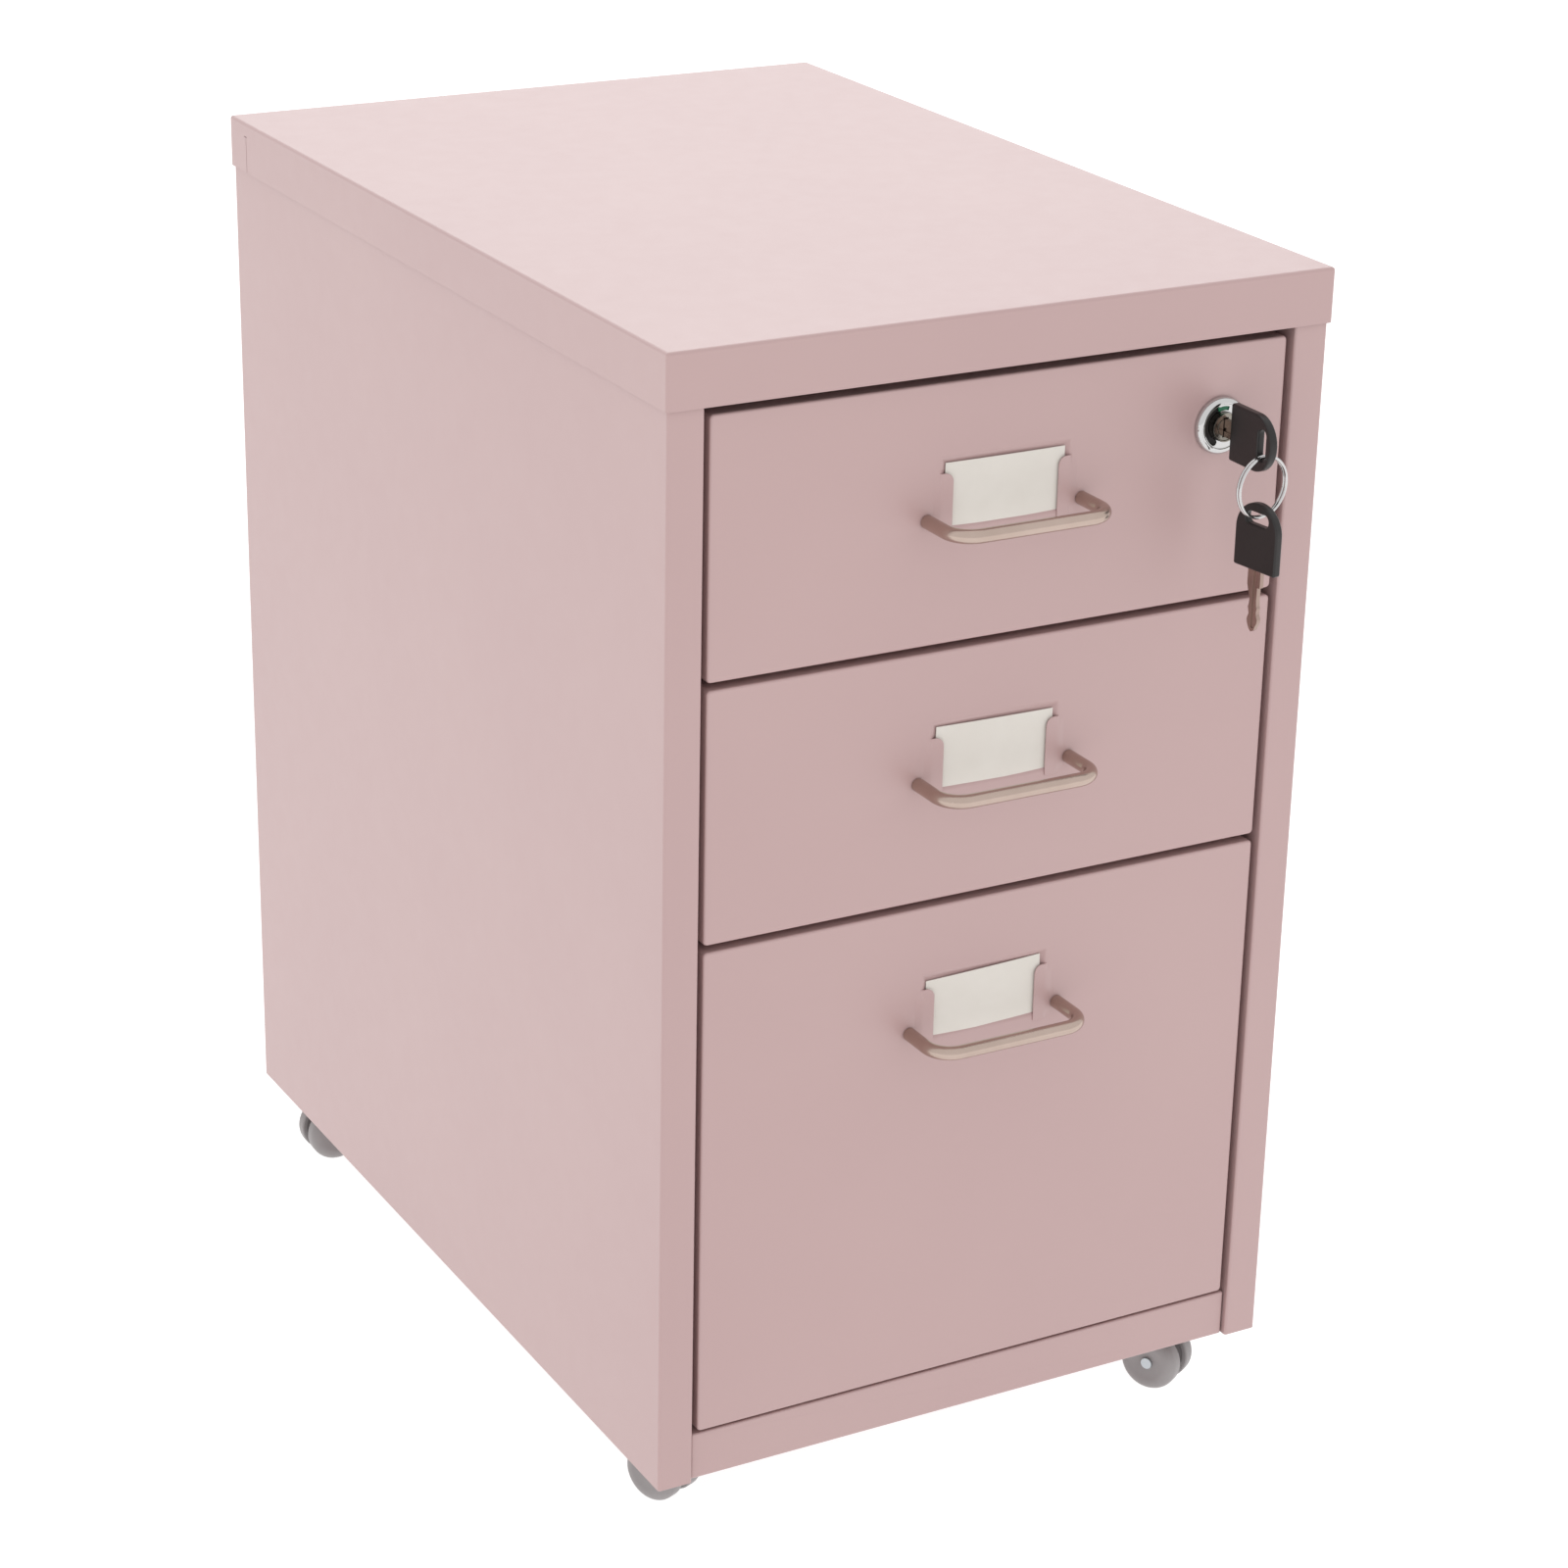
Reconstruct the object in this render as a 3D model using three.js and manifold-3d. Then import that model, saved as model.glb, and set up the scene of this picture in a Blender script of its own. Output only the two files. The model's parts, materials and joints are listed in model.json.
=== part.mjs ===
// Small sheet-metal drawer unit on castors: two shallow drawers over one deep drawer,
// a cam lock with two keys in the top drawer. Millimetres, +Z up, front towards -Y.
import * as THREE from 'three';
import { mergeVertices } from 'three/addons/utils/BufferGeometryUtils.js';
import Module from 'manifold-3d';

const wasm = await Module();
wasm.setup();

// ---------------------------------------------------------------- driving dimensions
const WIDTH = 280;             // over the top cover
const DEPTH = 407;             // over the top cover, handles not counted
const BODY_HEIGHT = 452;       // body bottom edge to top face
const FLOOR_GAP = 34;          // floor to body bottom edge
const SHEET = 0.8;             // sheet thickness
const GAP = 0.3;               // clearance between pieces that touch

const COVER_LIP = 21.2;        // height of the top cover's skirt
const COVER_OVERHANG_FRONT = 1.4;
const COVER_TAB = 18.3;        // rear corner tab of the skirt, measured from the rear edge
const COVER_SLIT = 0.5;
const COVER_SLIT_HEIGHT = 15;

const STILE_WIDTH = 14.6;      // front face of a side panel
const STILE_RETURN = 12;       // fold behind the stile
const REAR_FLANGE = 12;

const BASE_RAIL_HEIGHT = 19.8;
const BASE_RAIL_RECESS = 2.2;
const BASE_RAIL_FLANGE = 8;
const BASE_RAIL_SIDE_GAP = 0.6;
const BOTTOM_RAISE = 9.3;      // underside of the bottom panel above the body bottom edge
const TOP_RAIL_DROP = 40;      // upper front rail, lower edge below the top face
const TOP_RAIL_SETBACK = 21.2; // upper front rail behind the stile plane
const TOP_RAIL_FLANGE = 15;

const SMALL_FRONT = 99.3;      // height of a shallow drawer front
const DRAWER_GAP = 2.9;        // between fronts and above the base rail
const COVER_CLEARANCE = 3.6;   // top cover skirt to the first front
const FRONT_SIDE_GAP = 2.7;
const FRONT_RECESS = 1.2;      // drawer face behind the stile plane
const FRONT_FOLD = 12;         // depth of a front's folded edges
const FRONT_FLANGE = 16;       // side fold turned in behind, where the drawer box is welded on
const BOX_SIDE_SPACE = 11.6;   // from a front's end to the drawer box side
const BOX_SHEET = 0.7;
const BOX_LIP = 10.4;          // lip that rides in the runner
const BOX_LIP_DROP = 19;       // lip below the top of the front
const BOX_RAISE = 5;           // drawer box bottom above the bottom of the front
const BOX_REAR_SPACE = 9.1;    // drawer box to the back panel

const RUNNER_ROOM = 3;         // inner height of a runner channel
const RUNNER_REACH = 24;
const RUNNER_REAR_SPACE = 7.4; // runner to the back panel

const HANDLE_WIRE = 5.4;
const HANDLE_CENTRES = 65.9;
const HANDLE_PROJECTION = 22.4;  // face to wire centre
const HANDLE_BEND = 8;
const HANDLE_BELOW_TOP = 51.1;
const SCREW_SHANK = 3;
const SCREW_HEAD = 8;
const SCREW_HEAD_THICK = 2.2;
const SCREW_BITE = 8;          // thread length inside the handle leg

const CARD_WIDTH = 50.8;
const CARD_HEIGHT = 24.3;
const CARD_THICK = 0.3;
const CARD_BELOW_TOP = 30.3;
const POCKET_DEPTH = 1.7;      // pressed recess behind the card
const TAB_INNER = 22.5;        // inner edge of a card tab from the centre
const TAB_BELOW_CARD = 3.6;    // tab top below the card top
const TAB_HEIGHT = 22;

const LOCK_INSET = 28.6;       // lock axis from the right end of the drawer front
const LOCK_BELOW_TOP = 30.8;
const LOCK_RIM = 1.8;          // bezel beyond the barrel, on the radius
const LOCK_BEZEL_THICK = 3.4;
const LOCK_BARREL = 18.6;
const LOCK_LENGTH = 21.1;      // barrel behind the drawer face
const LOCK_NUT_RIM = 2.7;      // nut beyond the barrel, on the radius
const LOCK_NUT_THICK = 2.6;
const PLUG_DIAMETER = 11.2;
const PLUG_PROUD = 0.9;        // plug in front of the bezel
const CAM_LENGTH = 26;
const CAM_WIDTH = 11;
const CAM_THICK = 2;
const TAIL_SQUARE = 5;

const KEY_HEAD_LENGTH = 26;
const KEY_HEAD_WIDTH = 22;
const KEY_HEAD_THICK = 3.4;
const KEY_HOLE_LENGTH = 12;
const KEY_HOLE_WIDTH = 4.8;
const KEY_HOLE_INSET = 6;      // hole centre from the round end of the head
const KEY_BLADE_LENGTH = 24;
const KEY_BLADE_WIDTH = 7;
const KEY_BLADE_THICK = 1.9;
const KEY_BLADE_ROOT = 6;      // length moulded into the head
const KEY_SHOULDER = 4.7;      // head in front of the plug
const RING_DIAMETER = 24.4;
const RING_WIRE = 2;           // double turn, radially
const RING_BREADTH = 2.4;      // double turn, across
const KEYS_YAW = 8;            // degrees that the hanging ring and key are turned

const CASTOR_SIDE_INSET = 30.9;  // swivel axes inside the body's side, stile plane and rear
const CASTOR_FRONT_INSET = 39.1;
const CASTOR_REAR_INSET = 25.4;
const CASTOR_TRAIL = 9.5;
const WHEEL_DIAMETER = 25;
const WHEEL_WIDTH = 8;
const WHEEL_GAP = 5.6;           // between the twin wheels
const BRACKET_WIDTH = 5;
const BRACKET_BOSS = 6.5;      // radius
const STEM_COLLAR = 7;         // radius
const STEM_COLLAR_THICK = 3;
const STEM_STUD = 3.7;         // radius
const STEM_STUD_LENGTH = 12;
const STEM_PIN = 3;            // radius
const CLINCH_COLLAR = 8;       // radius of the threaded collar on the bottom panel
const CLINCH_HEIGHT = 6;
const AXLE_RADIUS = 2;
const BORE_CLEARANCE = 0.3;

const ROUND = 32;              // sides of a large circle
const SMALL_ROUND = 20;

// ---------------------------------------------------------------- derived planes
const floorToBody = FLOOR_GAP;
const topZ = FLOOR_GAP + BODY_HEIGHT;
const coverBottom = topZ - COVER_LIP;
const bodyHalf = WIDTH / 2 - SHEET - GAP;
const bodyInside = bodyHalf - SHEET;
const stileFront = -DEPTH / 2 + COVER_OVERHANG_FRONT;
const bodyRear = DEPTH / 2 - SHEET - GAP;
const openingHalf = bodyHalf - STILE_WIDTH;
const returnRear = stileFront + STILE_RETURN;
const backFront = bodyRear - SHEET - GAP - SHEET;
const faceY = stileFront + FRONT_RECESS;
const frontHalf = openingHalf - FRONT_SIDE_GAP;
const foldRear = faceY + FRONT_FOLD;
const boxFront = foldRear + GAP;
const boxRear = backFront - BOX_REAR_SPACE;
const boxHalf = frontHalf - BOX_SIDE_SPACE;
const railBackY = stileFront + TOP_RAIL_SETBACK + SHEET;
const runnerFront = railBackY + 2 * GAP;
const runnerRear = backFront - RUNNER_REAR_SPACE;
const lockX = frontHalf - LOCK_INSET;
const panelTop = topZ - SHEET - GAP;

// drawer fronts, from the top down, as [bottom, top]
const firstTop = coverBottom - COVER_CLEARANCE;
const secondTop = firstTop - SMALL_FRONT - DRAWER_GAP;
const thirdTop = secondTop - SMALL_FRONT - DRAWER_GAP;
const thirdBottom = floorToBody + BASE_RAIL_HEIGHT + DRAWER_GAP / 2;
const fronts = [
  [firstTop - SMALL_FRONT, firstTop],
  [secondTop - SMALL_FRONT, secondTop],
  [thirdBottom, thirdTop],
];

// ---------------------------------------------------------------- materials
const finish = (color, roughness, metalness) => ({ color, roughness, metalness });
const PAINT = finish(0xcdb6b6, 0.5, 0);
const GALVANISED = finish(0xb9bcbe, 0.45, 0.9);
const NICKEL = finish(0xb8a89c, 0.35, 1);
const CHROME = finish(0xe2e2e2, 0.12, 1);
const BRASS = finish(0xa5877d, 0.35, 1);
const CARD = finish(0xe2ddd4, 0.9, 0);
const BLACK_PLASTIC = finish(0x2d2a2a, 0.5, 0);
const GREY_PLASTIC = finish(0xaaa6a6, 0.55, 0);

// ---------------------------------------------------------------- shape helpers
function box(x0, x1, y0, y1, z0, z1) {
  const geometry = new THREE.BoxGeometry(x1 - x0, y1 - y0, z1 - z0);
  return geometry.translate((x0 + x1) / 2, (y0 + y1) / 2, (z0 + z1) / 2);
}

// cylinder along +Y or +Z between two planes
function rod(radius, from, to, axis = 'z', sides = SMALL_ROUND) {
  const geometry = new THREE.CylinderGeometry(radius, radius, to - from, sides);
  geometry.translate(0, (from + to) / 2, 0);
  return axis === 'y' ? geometry : geometry.rotateX(Math.PI / 2);
}

// closed outline in X and Y, raised from z0 to z1
function prism(points, z0, z1) {
  const outline = new THREE.Shape(points.map(([x, y]) => new THREE.Vector2(x, y)));
  const geometry = new THREE.ExtrudeGeometry(outline, { depth: z1 - z0, bevelEnabled: false });
  return geometry.translate(0, 0, z0);
}

// body of revolution about Y from [radius, y] pairs
function turned(profile, sides = ROUND) {
  return new THREE.LatheGeometry(profile.map(([r, y]) => new THREE.Vector2(r, y)), sides);
}

function toSolid(geometry) {
  const bare = geometry.clone();
  bare.deleteAttribute('normal');
  bare.deleteAttribute('uv');
  const merged = mergeVertices(bare, 1e-5);
  const vertProperties = new Float32Array(merged.attributes.position.array);
  const triVerts = new Uint32Array(merged.index.array);
  return new wasm.Manifold(new wasm.Mesh({ numProp: 3, vertProperties, triVerts }));
}

function toGeometry(manifold) {
  const mesh = manifold.getMesh();
  const geometry = new THREE.BufferGeometry();
  geometry.setAttribute('position', new THREE.BufferAttribute(new Float32Array(mesh.vertProperties), 3));
  geometry.setIndex(new THREE.BufferAttribute(new Uint32Array(mesh.triVerts), 1));
  geometry.computeVertexNormals();
  return geometry;
}

function join(...geometries) {
  return toGeometry(geometries.map(toSolid).reduce((a, b) => a.add(b)));
}

function cut(geometry, ...tools) {
  return toGeometry(tools.map(toSolid).reduce((a, b) => a.subtract(b), toSolid(geometry)));
}

function place(parent, name, geometry, look) {
  const mesh = new THREE.Mesh(geometry, new THREE.MeshStandardMaterial(look));
  mesh.name = name;
  parent.add(mesh);
  return mesh;
}

function mirrored(geometry) {
  const copy = geometry.index ? geometry.toNonIndexed() : geometry.clone();
  const p = copy.attributes.position;
  for (let i = 0; i < p.count; i += 3) {
    const corners = [0, 2, 1].map((k) => new THREE.Vector3().fromBufferAttribute(p, i + k));
    corners.forEach((v, k) => p.setXYZ(i + k, -v.x, v.y, v.z));
  }
  copy.deleteAttribute('normal');
  copy.deleteAttribute('uv');
  return mergeVertices(copy, 1e-5);
}

// ---------------------------------------------------------------- carcass
function topCover() {
  const half = WIDTH / 2;
  const deep = DEPTH / 2;
  const shell = box(-half, half, -deep, deep, coverBottom, topZ);
  const inside = box(-half + SHEET, half - SHEET, -deep + SHEET, deep - SHEET, coverBottom - 1, topZ - SHEET);
  const slitY = deep - COVER_TAB;
  const slits = [-1, 1].map((side) => {
    const outer = side * (half + 1);
    const inner = side * (half - SHEET - 1);
    return box(Math.min(outer, inner), Math.max(outer, inner), slitY, slitY + COVER_SLIT,
      coverBottom - 1, coverBottom + COVER_SLIT_HEIGHT);
  });
  return cut(shell, inside, ...slits);
}

// one folded side: stile, its return, the side itself and the rear flange
function sidePanel() {
  const out = -bodyHalf;
  const points = [
    [out, stileFront],
    [out + STILE_WIDTH, stileFront],
    [out + STILE_WIDTH, returnRear],
    [out + STILE_WIDTH - SHEET, returnRear],
    [out + STILE_WIDTH - SHEET, stileFront + SHEET],
    [out + SHEET, stileFront + SHEET],
    [out + SHEET, bodyRear - SHEET],
    [out + REAR_FLANGE, bodyRear - SHEET],
    [out + REAR_FLANGE, bodyRear],
    [out, bodyRear],
  ];
  return prism(points, floorToBody, panelTop);
}

function backPanel() {
  const half = bodyInside - GAP;
  return box(-half, half, backFront, backFront + SHEET, floorToBody + GAP, panelTop);
}

// corner, swivel axis and the way that the castor trails, in degrees from +X
const castorX = bodyHalf - CASTOR_SIDE_INSET;
const castorFront = stileFront + CASTOR_FRONT_INSET;
const castorRear = bodyRear - CASTOR_REAR_INSET;
const castorCorners = [
  ['front_left', -castorX, castorFront, 112],
  ['front_right', castorX, castorFront, -60],
  ['rear_left', -castorX, castorRear, 180],
  ['rear_right', castorX, castorRear, 0],
];

const bottomUnder = floorToBody + BOTTOM_RAISE;

// tray turned upside down, with a threaded collar clinched in for each castor
function bottomPanel() {
  const half = bodyInside - GAP;
  const front = returnRear + GAP;
  const rear = backFront - GAP;
  const top = bottomUnder + SHEET;
  const shell = box(-half, half, front, rear, floorToBody + GAP, top);
  const inside = box(-half + SHEET, half - SHEET, front + SHEET, rear - SHEET, floorToBody - 1, bottomUnder);
  const at = (geometry, [, x, y]) => geometry.translate(x, y, 0);
  const collars = castorCorners.map((c) => at(rod(CLINCH_COLLAR, bottomUnder, top + CLINCH_HEIGHT), c));
  const hole = STEM_STUD + BORE_CLEARANCE;
  const holes = castorCorners.map((c) => at(rod(hole, bottomUnder - 1, top + CLINCH_HEIGHT + 1), c));
  return cut(join(cut(shell, inside), ...collars), ...holes);
}

// C section that closes the front below the lowest drawer
function baseRail() {
  const half = openingHalf - BASE_RAIL_SIDE_GAP;
  const front = stileFront + BASE_RAIL_RECESS;
  const bottom = floorToBody;
  const top = floorToBody + BASE_RAIL_HEIGHT;
  const block = box(-half, half, front, front + BASE_RAIL_FLANGE, bottom, top);
  const hollow = box(-half - 1, half + 1, front + SHEET, front + BASE_RAIL_FLANGE + 1, bottom + SHEET, top - SHEET);
  return cut(block, hollow);
}

// hidden angle that ties the sides together and gives the lock cam its catch
function upperFrontRail() {
  const half = bodyInside - GAP;
  const web = box(-half, half, railBackY - SHEET, railBackY, topZ - TOP_RAIL_DROP, panelTop);
  const flange = box(-half, half, railBackY - SHEET, railBackY + TOP_RAIL_FLANGE, panelTop - SHEET, panelTop);
  return join(web, flange);
}

// C channel on the left side panel; the drawer lip rides between its flanges
function runner(lipBottom) {
  const out = -bodyInside + GAP;
  const low = lipBottom - GAP - SHEET;
  const high = low + 2 * SHEET + RUNNER_ROOM;
  const block = box(out, out + RUNNER_REACH, runnerFront, runnerRear, low, high);
  const slot = box(out + SHEET, out + RUNNER_REACH + 1, runnerFront - 1, runnerRear + 1,
    low + SHEET, high - SHEET);
  return cut(block, slot);
}

// ---------------------------------------------------------------- drawers
// folded tray front with a pressed card pocket, two card tabs and its fixing holes
function drawerFront([bottom, top], hasLock) {
  const shell = box(-frontHalf, frontHalf, faceY, foldRear, bottom, top);
  const inside = box(-frontHalf + SHEET, frontHalf - SHEET, faceY + SHEET, foldRear - SHEET,
    bottom + SHEET, top - SHEET);
  const mouth = box(FRONT_FLANGE - frontHalf, frontHalf - FRONT_FLANGE, foldRear - 2 * SHEET, foldRear + 1,
    bottom + SHEET, top - SHEET);
  const cardTop = top - CARD_BELOW_TOP;
  const cardBottom = cardTop - CARD_HEIGHT;
  const pocketHalf = CARD_WIDTH / 2 + GAP;
  const pocketBack = faceY + POCKET_DEPTH;
  const pocket = [-pocketHalf, pocketHalf, faceY - 1, pocketBack, cardBottom - GAP, cardTop + 2 * GAP];
  const pad = box(-pocketHalf - SHEET, pocketHalf + SHEET, faceY, pocketBack + SHEET,
    cardBottom - GAP - SHEET, cardTop + 2 * GAP + SHEET);
  const tabTop = cardTop - TAB_BELOW_CARD;
  const tabs = [-1, 1].map((side) => {
    const x = [side * TAB_INNER, side * (pocketHalf + SHEET)].sort((a, b) => a - b);
    return box(x[0], x[1], faceY - GAP, faceY + SHEET / 2, tabTop - TAB_HEIGHT, tabTop);
  });
  const tools = [-1, 1].map((side) => {
    const hole = rod(SCREW_SHANK / 2 + BORE_CLEARANCE, faceY - 1, faceY + 2, 'y', 12);
    return hole.translate(side * HANDLE_CENTRES / 2, 0, top - HANDLE_BELOW_TOP);
  });
  if (hasLock) {
    const hole = rod(LOCK_BARREL / 2 + BORE_CLEARANCE, faceY - 1, faceY + 2, 'y', ROUND);
    tools.push(hole.translate(lockX, 0, top - LOCK_BELOW_TOP));
  }
  const tray = join(cut(shell, inside, mouth), pad);
  return cut(join(cut(tray, box(...pocket)), ...tabs), ...tools);
}

// open box with an outward lip along each side
function drawerBox([bottom, top], hasLock) {
  const low = bottom + BOX_RAISE;
  const lip = top - BOX_LIP_DROP;
  const high = lip + BOX_SHEET;
  const t = BOX_SHEET;
  const shell = box(-boxHalf, boxHalf, boxFront, boxRear, low, high);
  const inside = box(-boxHalf + t, boxHalf - t, boxFront + t, boxRear - t, low + t, high + 1);
  const lips = [-1, 1].map((side) => {
    const x = [side * (boxHalf - t / 2), side * (boxHalf + BOX_LIP)].sort((a, b) => a - b);
    return box(x[0], x[1], boxFront, boxRear, lip, high);
  });
  const tray = join(cut(shell, inside), ...lips);
  if (!hasLock) return tray;
  const hole = rod(LOCK_BARREL / 2 + BORE_CLEARANCE, boxFront - 1, boxFront + t + 1, 'y', ROUND);
  return cut(tray, hole.translate(lockX, 0, top - LOCK_BELOW_TOP));
}

// wire bent to a flat U, tapped at both ends
function handle() {
  const half = HANDLE_CENTRES / 2;
  const root = faceY - GAP;
  const bar = faceY - HANDLE_PROJECTION;
  const bend = HANDLE_BEND;
  const point = (x, y) => new THREE.Vector3(x, y, 0);
  const path = new THREE.CurvePath();
  path.add(new THREE.LineCurve3(point(-half, root), point(-half, bar + bend)));
  path.add(new THREE.QuadraticBezierCurve3(point(-half, bar + bend), point(-half, bar), point(bend - half, bar)));
  path.add(new THREE.LineCurve3(point(bend - half, bar), point(half - bend, bar)));
  path.add(new THREE.QuadraticBezierCurve3(point(half - bend, bar), point(half, bar), point(half, bar + bend)));
  path.add(new THREE.LineCurve3(point(half, bar + bend), point(half, root)));
  const section = new THREE.Shape();
  section.absarc(0, 0, HANDLE_WIRE / 2, 0, 2 * Math.PI);
  const wire = new THREE.ExtrudeGeometry(section, { extrudePath: path, steps: 32, curveSegments: 6 });
  const taps = [-half, half].map((x) => {
    const tap = rod(SCREW_SHANK / 2 + BORE_CLEARANCE, root - SCREW_BITE - GAP, root + 1, 'y', 10);
    return tap.translate(x, 0, 0);
  });
  return cut(wire, ...taps);
}

function handleScrew() {
  const headFront = faceY + SHEET + GAP;
  const shank = rod(SCREW_SHANK / 2, faceY - GAP - SCREW_BITE, headFront + 0.5, 'y', 10);
  const head = rod(SCREW_HEAD / 2, headFront, headFront + SCREW_HEAD_THICK, 'y', 16);
  return join(shank, head);
}

function labelCard([, top]) {
  const high = top - CARD_BELOW_TOP;
  const front = faceY + SHEET / 2 + GAP;
  return box(-CARD_WIDTH / 2, CARD_WIDTH / 2, front, front + CARD_THICK, high - CARD_HEIGHT, high);
}

// ---------------------------------------------------------------- lock, built about x = z = 0
const bezelFront = faceY - GAP - LOCK_BEZEL_THICK;
const barrelEnd = faceY + LOCK_LENGTH;
const plugFront = bezelFront - PLUG_PROUD;
const camFront = barrelEnd + GAP;
const headBase = plugFront - KEY_SHOULDER;

function lockHousing() {
  const bore = PLUG_DIAMETER / 2 + BORE_CLEARANCE;
  const rim = LOCK_BARREL / 2 + LOCK_RIM;
  const barrel = LOCK_BARREL / 2;
  const seat = faceY - GAP;
  return turned([
    [bore, barrelEnd],
    [bore, bezelFront],
    [rim * 0.7, bezelFront],
    [rim * 0.9, bezelFront + LOCK_BEZEL_THICK * 0.3],
    [rim, seat - 0.6],
    [rim, seat],
    [barrel, seat],
    [barrel, barrelEnd],
    [bore, barrelEnd],
  ]);
}

function lockNut() {
  const front = faceY + SHEET + GAP;
  const hexagon = rod(LOCK_BARREL / 2 + LOCK_NUT_RIM, front, front + LOCK_NUT_THICK, 'y', 6);
  return cut(hexagon, rod(LOCK_BARREL / 2 + BORE_CLEARANCE, front - 1, front + LOCK_NUT_THICK + 1, 'y', ROUND));
}

// core with a keyway from the front and a square tail behind
function lockPlug() {
  const core = rod(PLUG_DIAMETER / 2, plugFront, barrelEnd, 'y');
  const half = TAIL_SQUARE / 2;
  const tail = box(-half, half, barrelEnd - 1, camFront + CAM_THICK + 1, -half, half);
  const wide = KEY_BLADE_WIDTH / 2 + GAP;
  const thin = KEY_BLADE_THICK / 2 + GAP;
  const deep = headBase + KEY_BLADE_LENGTH + GAP;
  return cut(join(core, tail), box(-thin, thin, plugFront - 1, deep, -wide, wide));
}

// flat catch that points to -X when unlocked
function lockCam() {
  const half = CAM_WIDTH / 2;
  const arm = box(-CAM_LENGTH, 0, camFront, camFront + CAM_THICK, -half, half);
  const eye = rod(half + 1.5, camFront, camFront + CAM_THICK, 'y');
  const hole = TAIL_SQUARE / 2 + GAP;
  return cut(join(arm, eye), box(-hole, hole, camFront - 1, camFront + CAM_THICK + 1, -hole, hole));
}

// ---------------------------------------------------------------- keys
// Both keys are drawn with the head base at y = 0, the blade towards +Y and the head towards -Y.
function keyHead() {
  const half = KEY_HEAD_WIDTH / 2;
  const straight = KEY_HEAD_LENGTH - half;
  const outline = new THREE.Shape();
  outline.moveTo(-half, 0);
  outline.lineTo(half, 0);
  outline.lineTo(half, straight);
  outline.absarc(0, straight, half, 0, Math.PI);
  const hole = new THREE.Path();
  const end = KEY_HOLE_LENGTH / 2 - KEY_HOLE_WIDTH / 2;
  const holeAt = KEY_HEAD_LENGTH - KEY_HOLE_INSET;
  hole.absarc(end, holeAt, KEY_HOLE_WIDTH / 2, -Math.PI / 2, Math.PI / 2);
  hole.absarc(-end, holeAt, KEY_HOLE_WIDTH / 2, Math.PI / 2, 1.5 * Math.PI);
  outline.holes.push(hole);
  const depth = KEY_HEAD_THICK;
  const plate = new THREE.ExtrudeGeometry(outline, { depth, bevelEnabled: false, curveSegments: 14 });
  plate.translate(0, 0, -depth / 2).rotateX(Math.PI).rotateY(-Math.PI / 2);
  const wide = KEY_BLADE_WIDTH / 2 + GAP;
  const thin = KEY_BLADE_THICK / 2 + GAP;
  return cut(plate, box(-thin, thin, -KEY_BLADE_ROOT - GAP, 1, -wide, wide));
}

function keyBlade() {
  const w = KEY_BLADE_WIDTH / 2;
  const bite = [0, 0.9, 0.3, 1.1, 0.4, 1, 0.2];
  const toothed = KEY_BLADE_LENGTH * 0.68;
  const start = KEY_BLADE_LENGTH - toothed;
  const tipLength = 3;
  const step = (toothed - tipLength) / (bite.length - 1);
  const upper = bite.map((depth, i) => [w * 0.75 - depth * 0.8, start + i * step]);
  const side = [[w, -KEY_BLADE_ROOT], [w, start - 0.6], ...upper, [w * 0.35, KEY_BLADE_LENGTH - 0.6]];
  const tip = [0, KEY_BLADE_LENGTH];
  const other = side.map(([x, y]) => [-x, y]).reverse();
  const blade = prism([...side, tip, ...other], -KEY_BLADE_THICK / 2, KEY_BLADE_THICK / 2);
  return blade.rotateY(Math.PI / 2);
}

// split ring drawn as its closed double turn, axis along Y
function keyRing() {
  const outer = RING_DIAMETER / 2;
  const inner = outer - RING_WIRE;
  const half = RING_BREADTH / 2;
  const soft = 0.5;
  return turned([
    [inner, half - soft],
    [inner, soft - half],
    [inner + soft, -half],
    [outer - soft, -half],
    [outer, soft - half],
    [outer, half - soft],
    [outer - soft, half],
    [inner + soft, half],
    [inner, half - soft],
  ], 40);
}

// ---------------------------------------------------------------- castors, swivel axis at x = y = 0
const castorTop = bottomUnder - GAP;
const wheelRadius = WHEEL_DIAMETER / 2;
const pinBottom = WHEEL_DIAMETER + 2;
const bossTop = castorTop - STEM_COLLAR_THICK - GAP;

function castorStem() {
  const collarBottom = castorTop - STEM_COLLAR_THICK;
  return join(
    rod(STEM_PIN, pinBottom + GAP, collarBottom + 1),
    rod(STEM_COLLAR, collarBottom, castorTop, 'z', 6),
    rod(STEM_STUD, castorTop - 1, castorTop + STEM_STUD_LENGTH),
  );
}

function castorBracket() {
  const half = BRACKET_WIDTH / 2;
  const eye = 5.5;
  const web = prism([
    [-BRACKET_BOSS + 1, pinBottom],
    [CASTOR_TRAIL - eye, wheelRadius - 2],
    [CASTOR_TRAIL + eye, wheelRadius],
    [BRACKET_BOSS - 1, pinBottom],
  ], -half, half).rotateX(Math.PI / 2);
  const boss = rod(BRACKET_BOSS, WHEEL_DIAMETER + 1, bossTop);
  const hub = rod(eye, -half, half, 'y').translate(CASTOR_TRAIL, 0, wheelRadius);
  const pinHole = rod(STEM_PIN + BORE_CLEARANCE, pinBottom, bossTop + 1);
  const axleHole = rod(AXLE_RADIUS + BORE_CLEARANCE, -half - 1, half + 1, 'y');
  return cut(join(web, boss, hub), pinHole, axleHole.translate(CASTOR_TRAIL, 0, wheelRadius));
}

const wheelInner = WHEEL_GAP / 2;
const wheelOuter = wheelInner + WHEEL_WIDTH;
const axleEnd = wheelOuter - 2;

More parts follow.
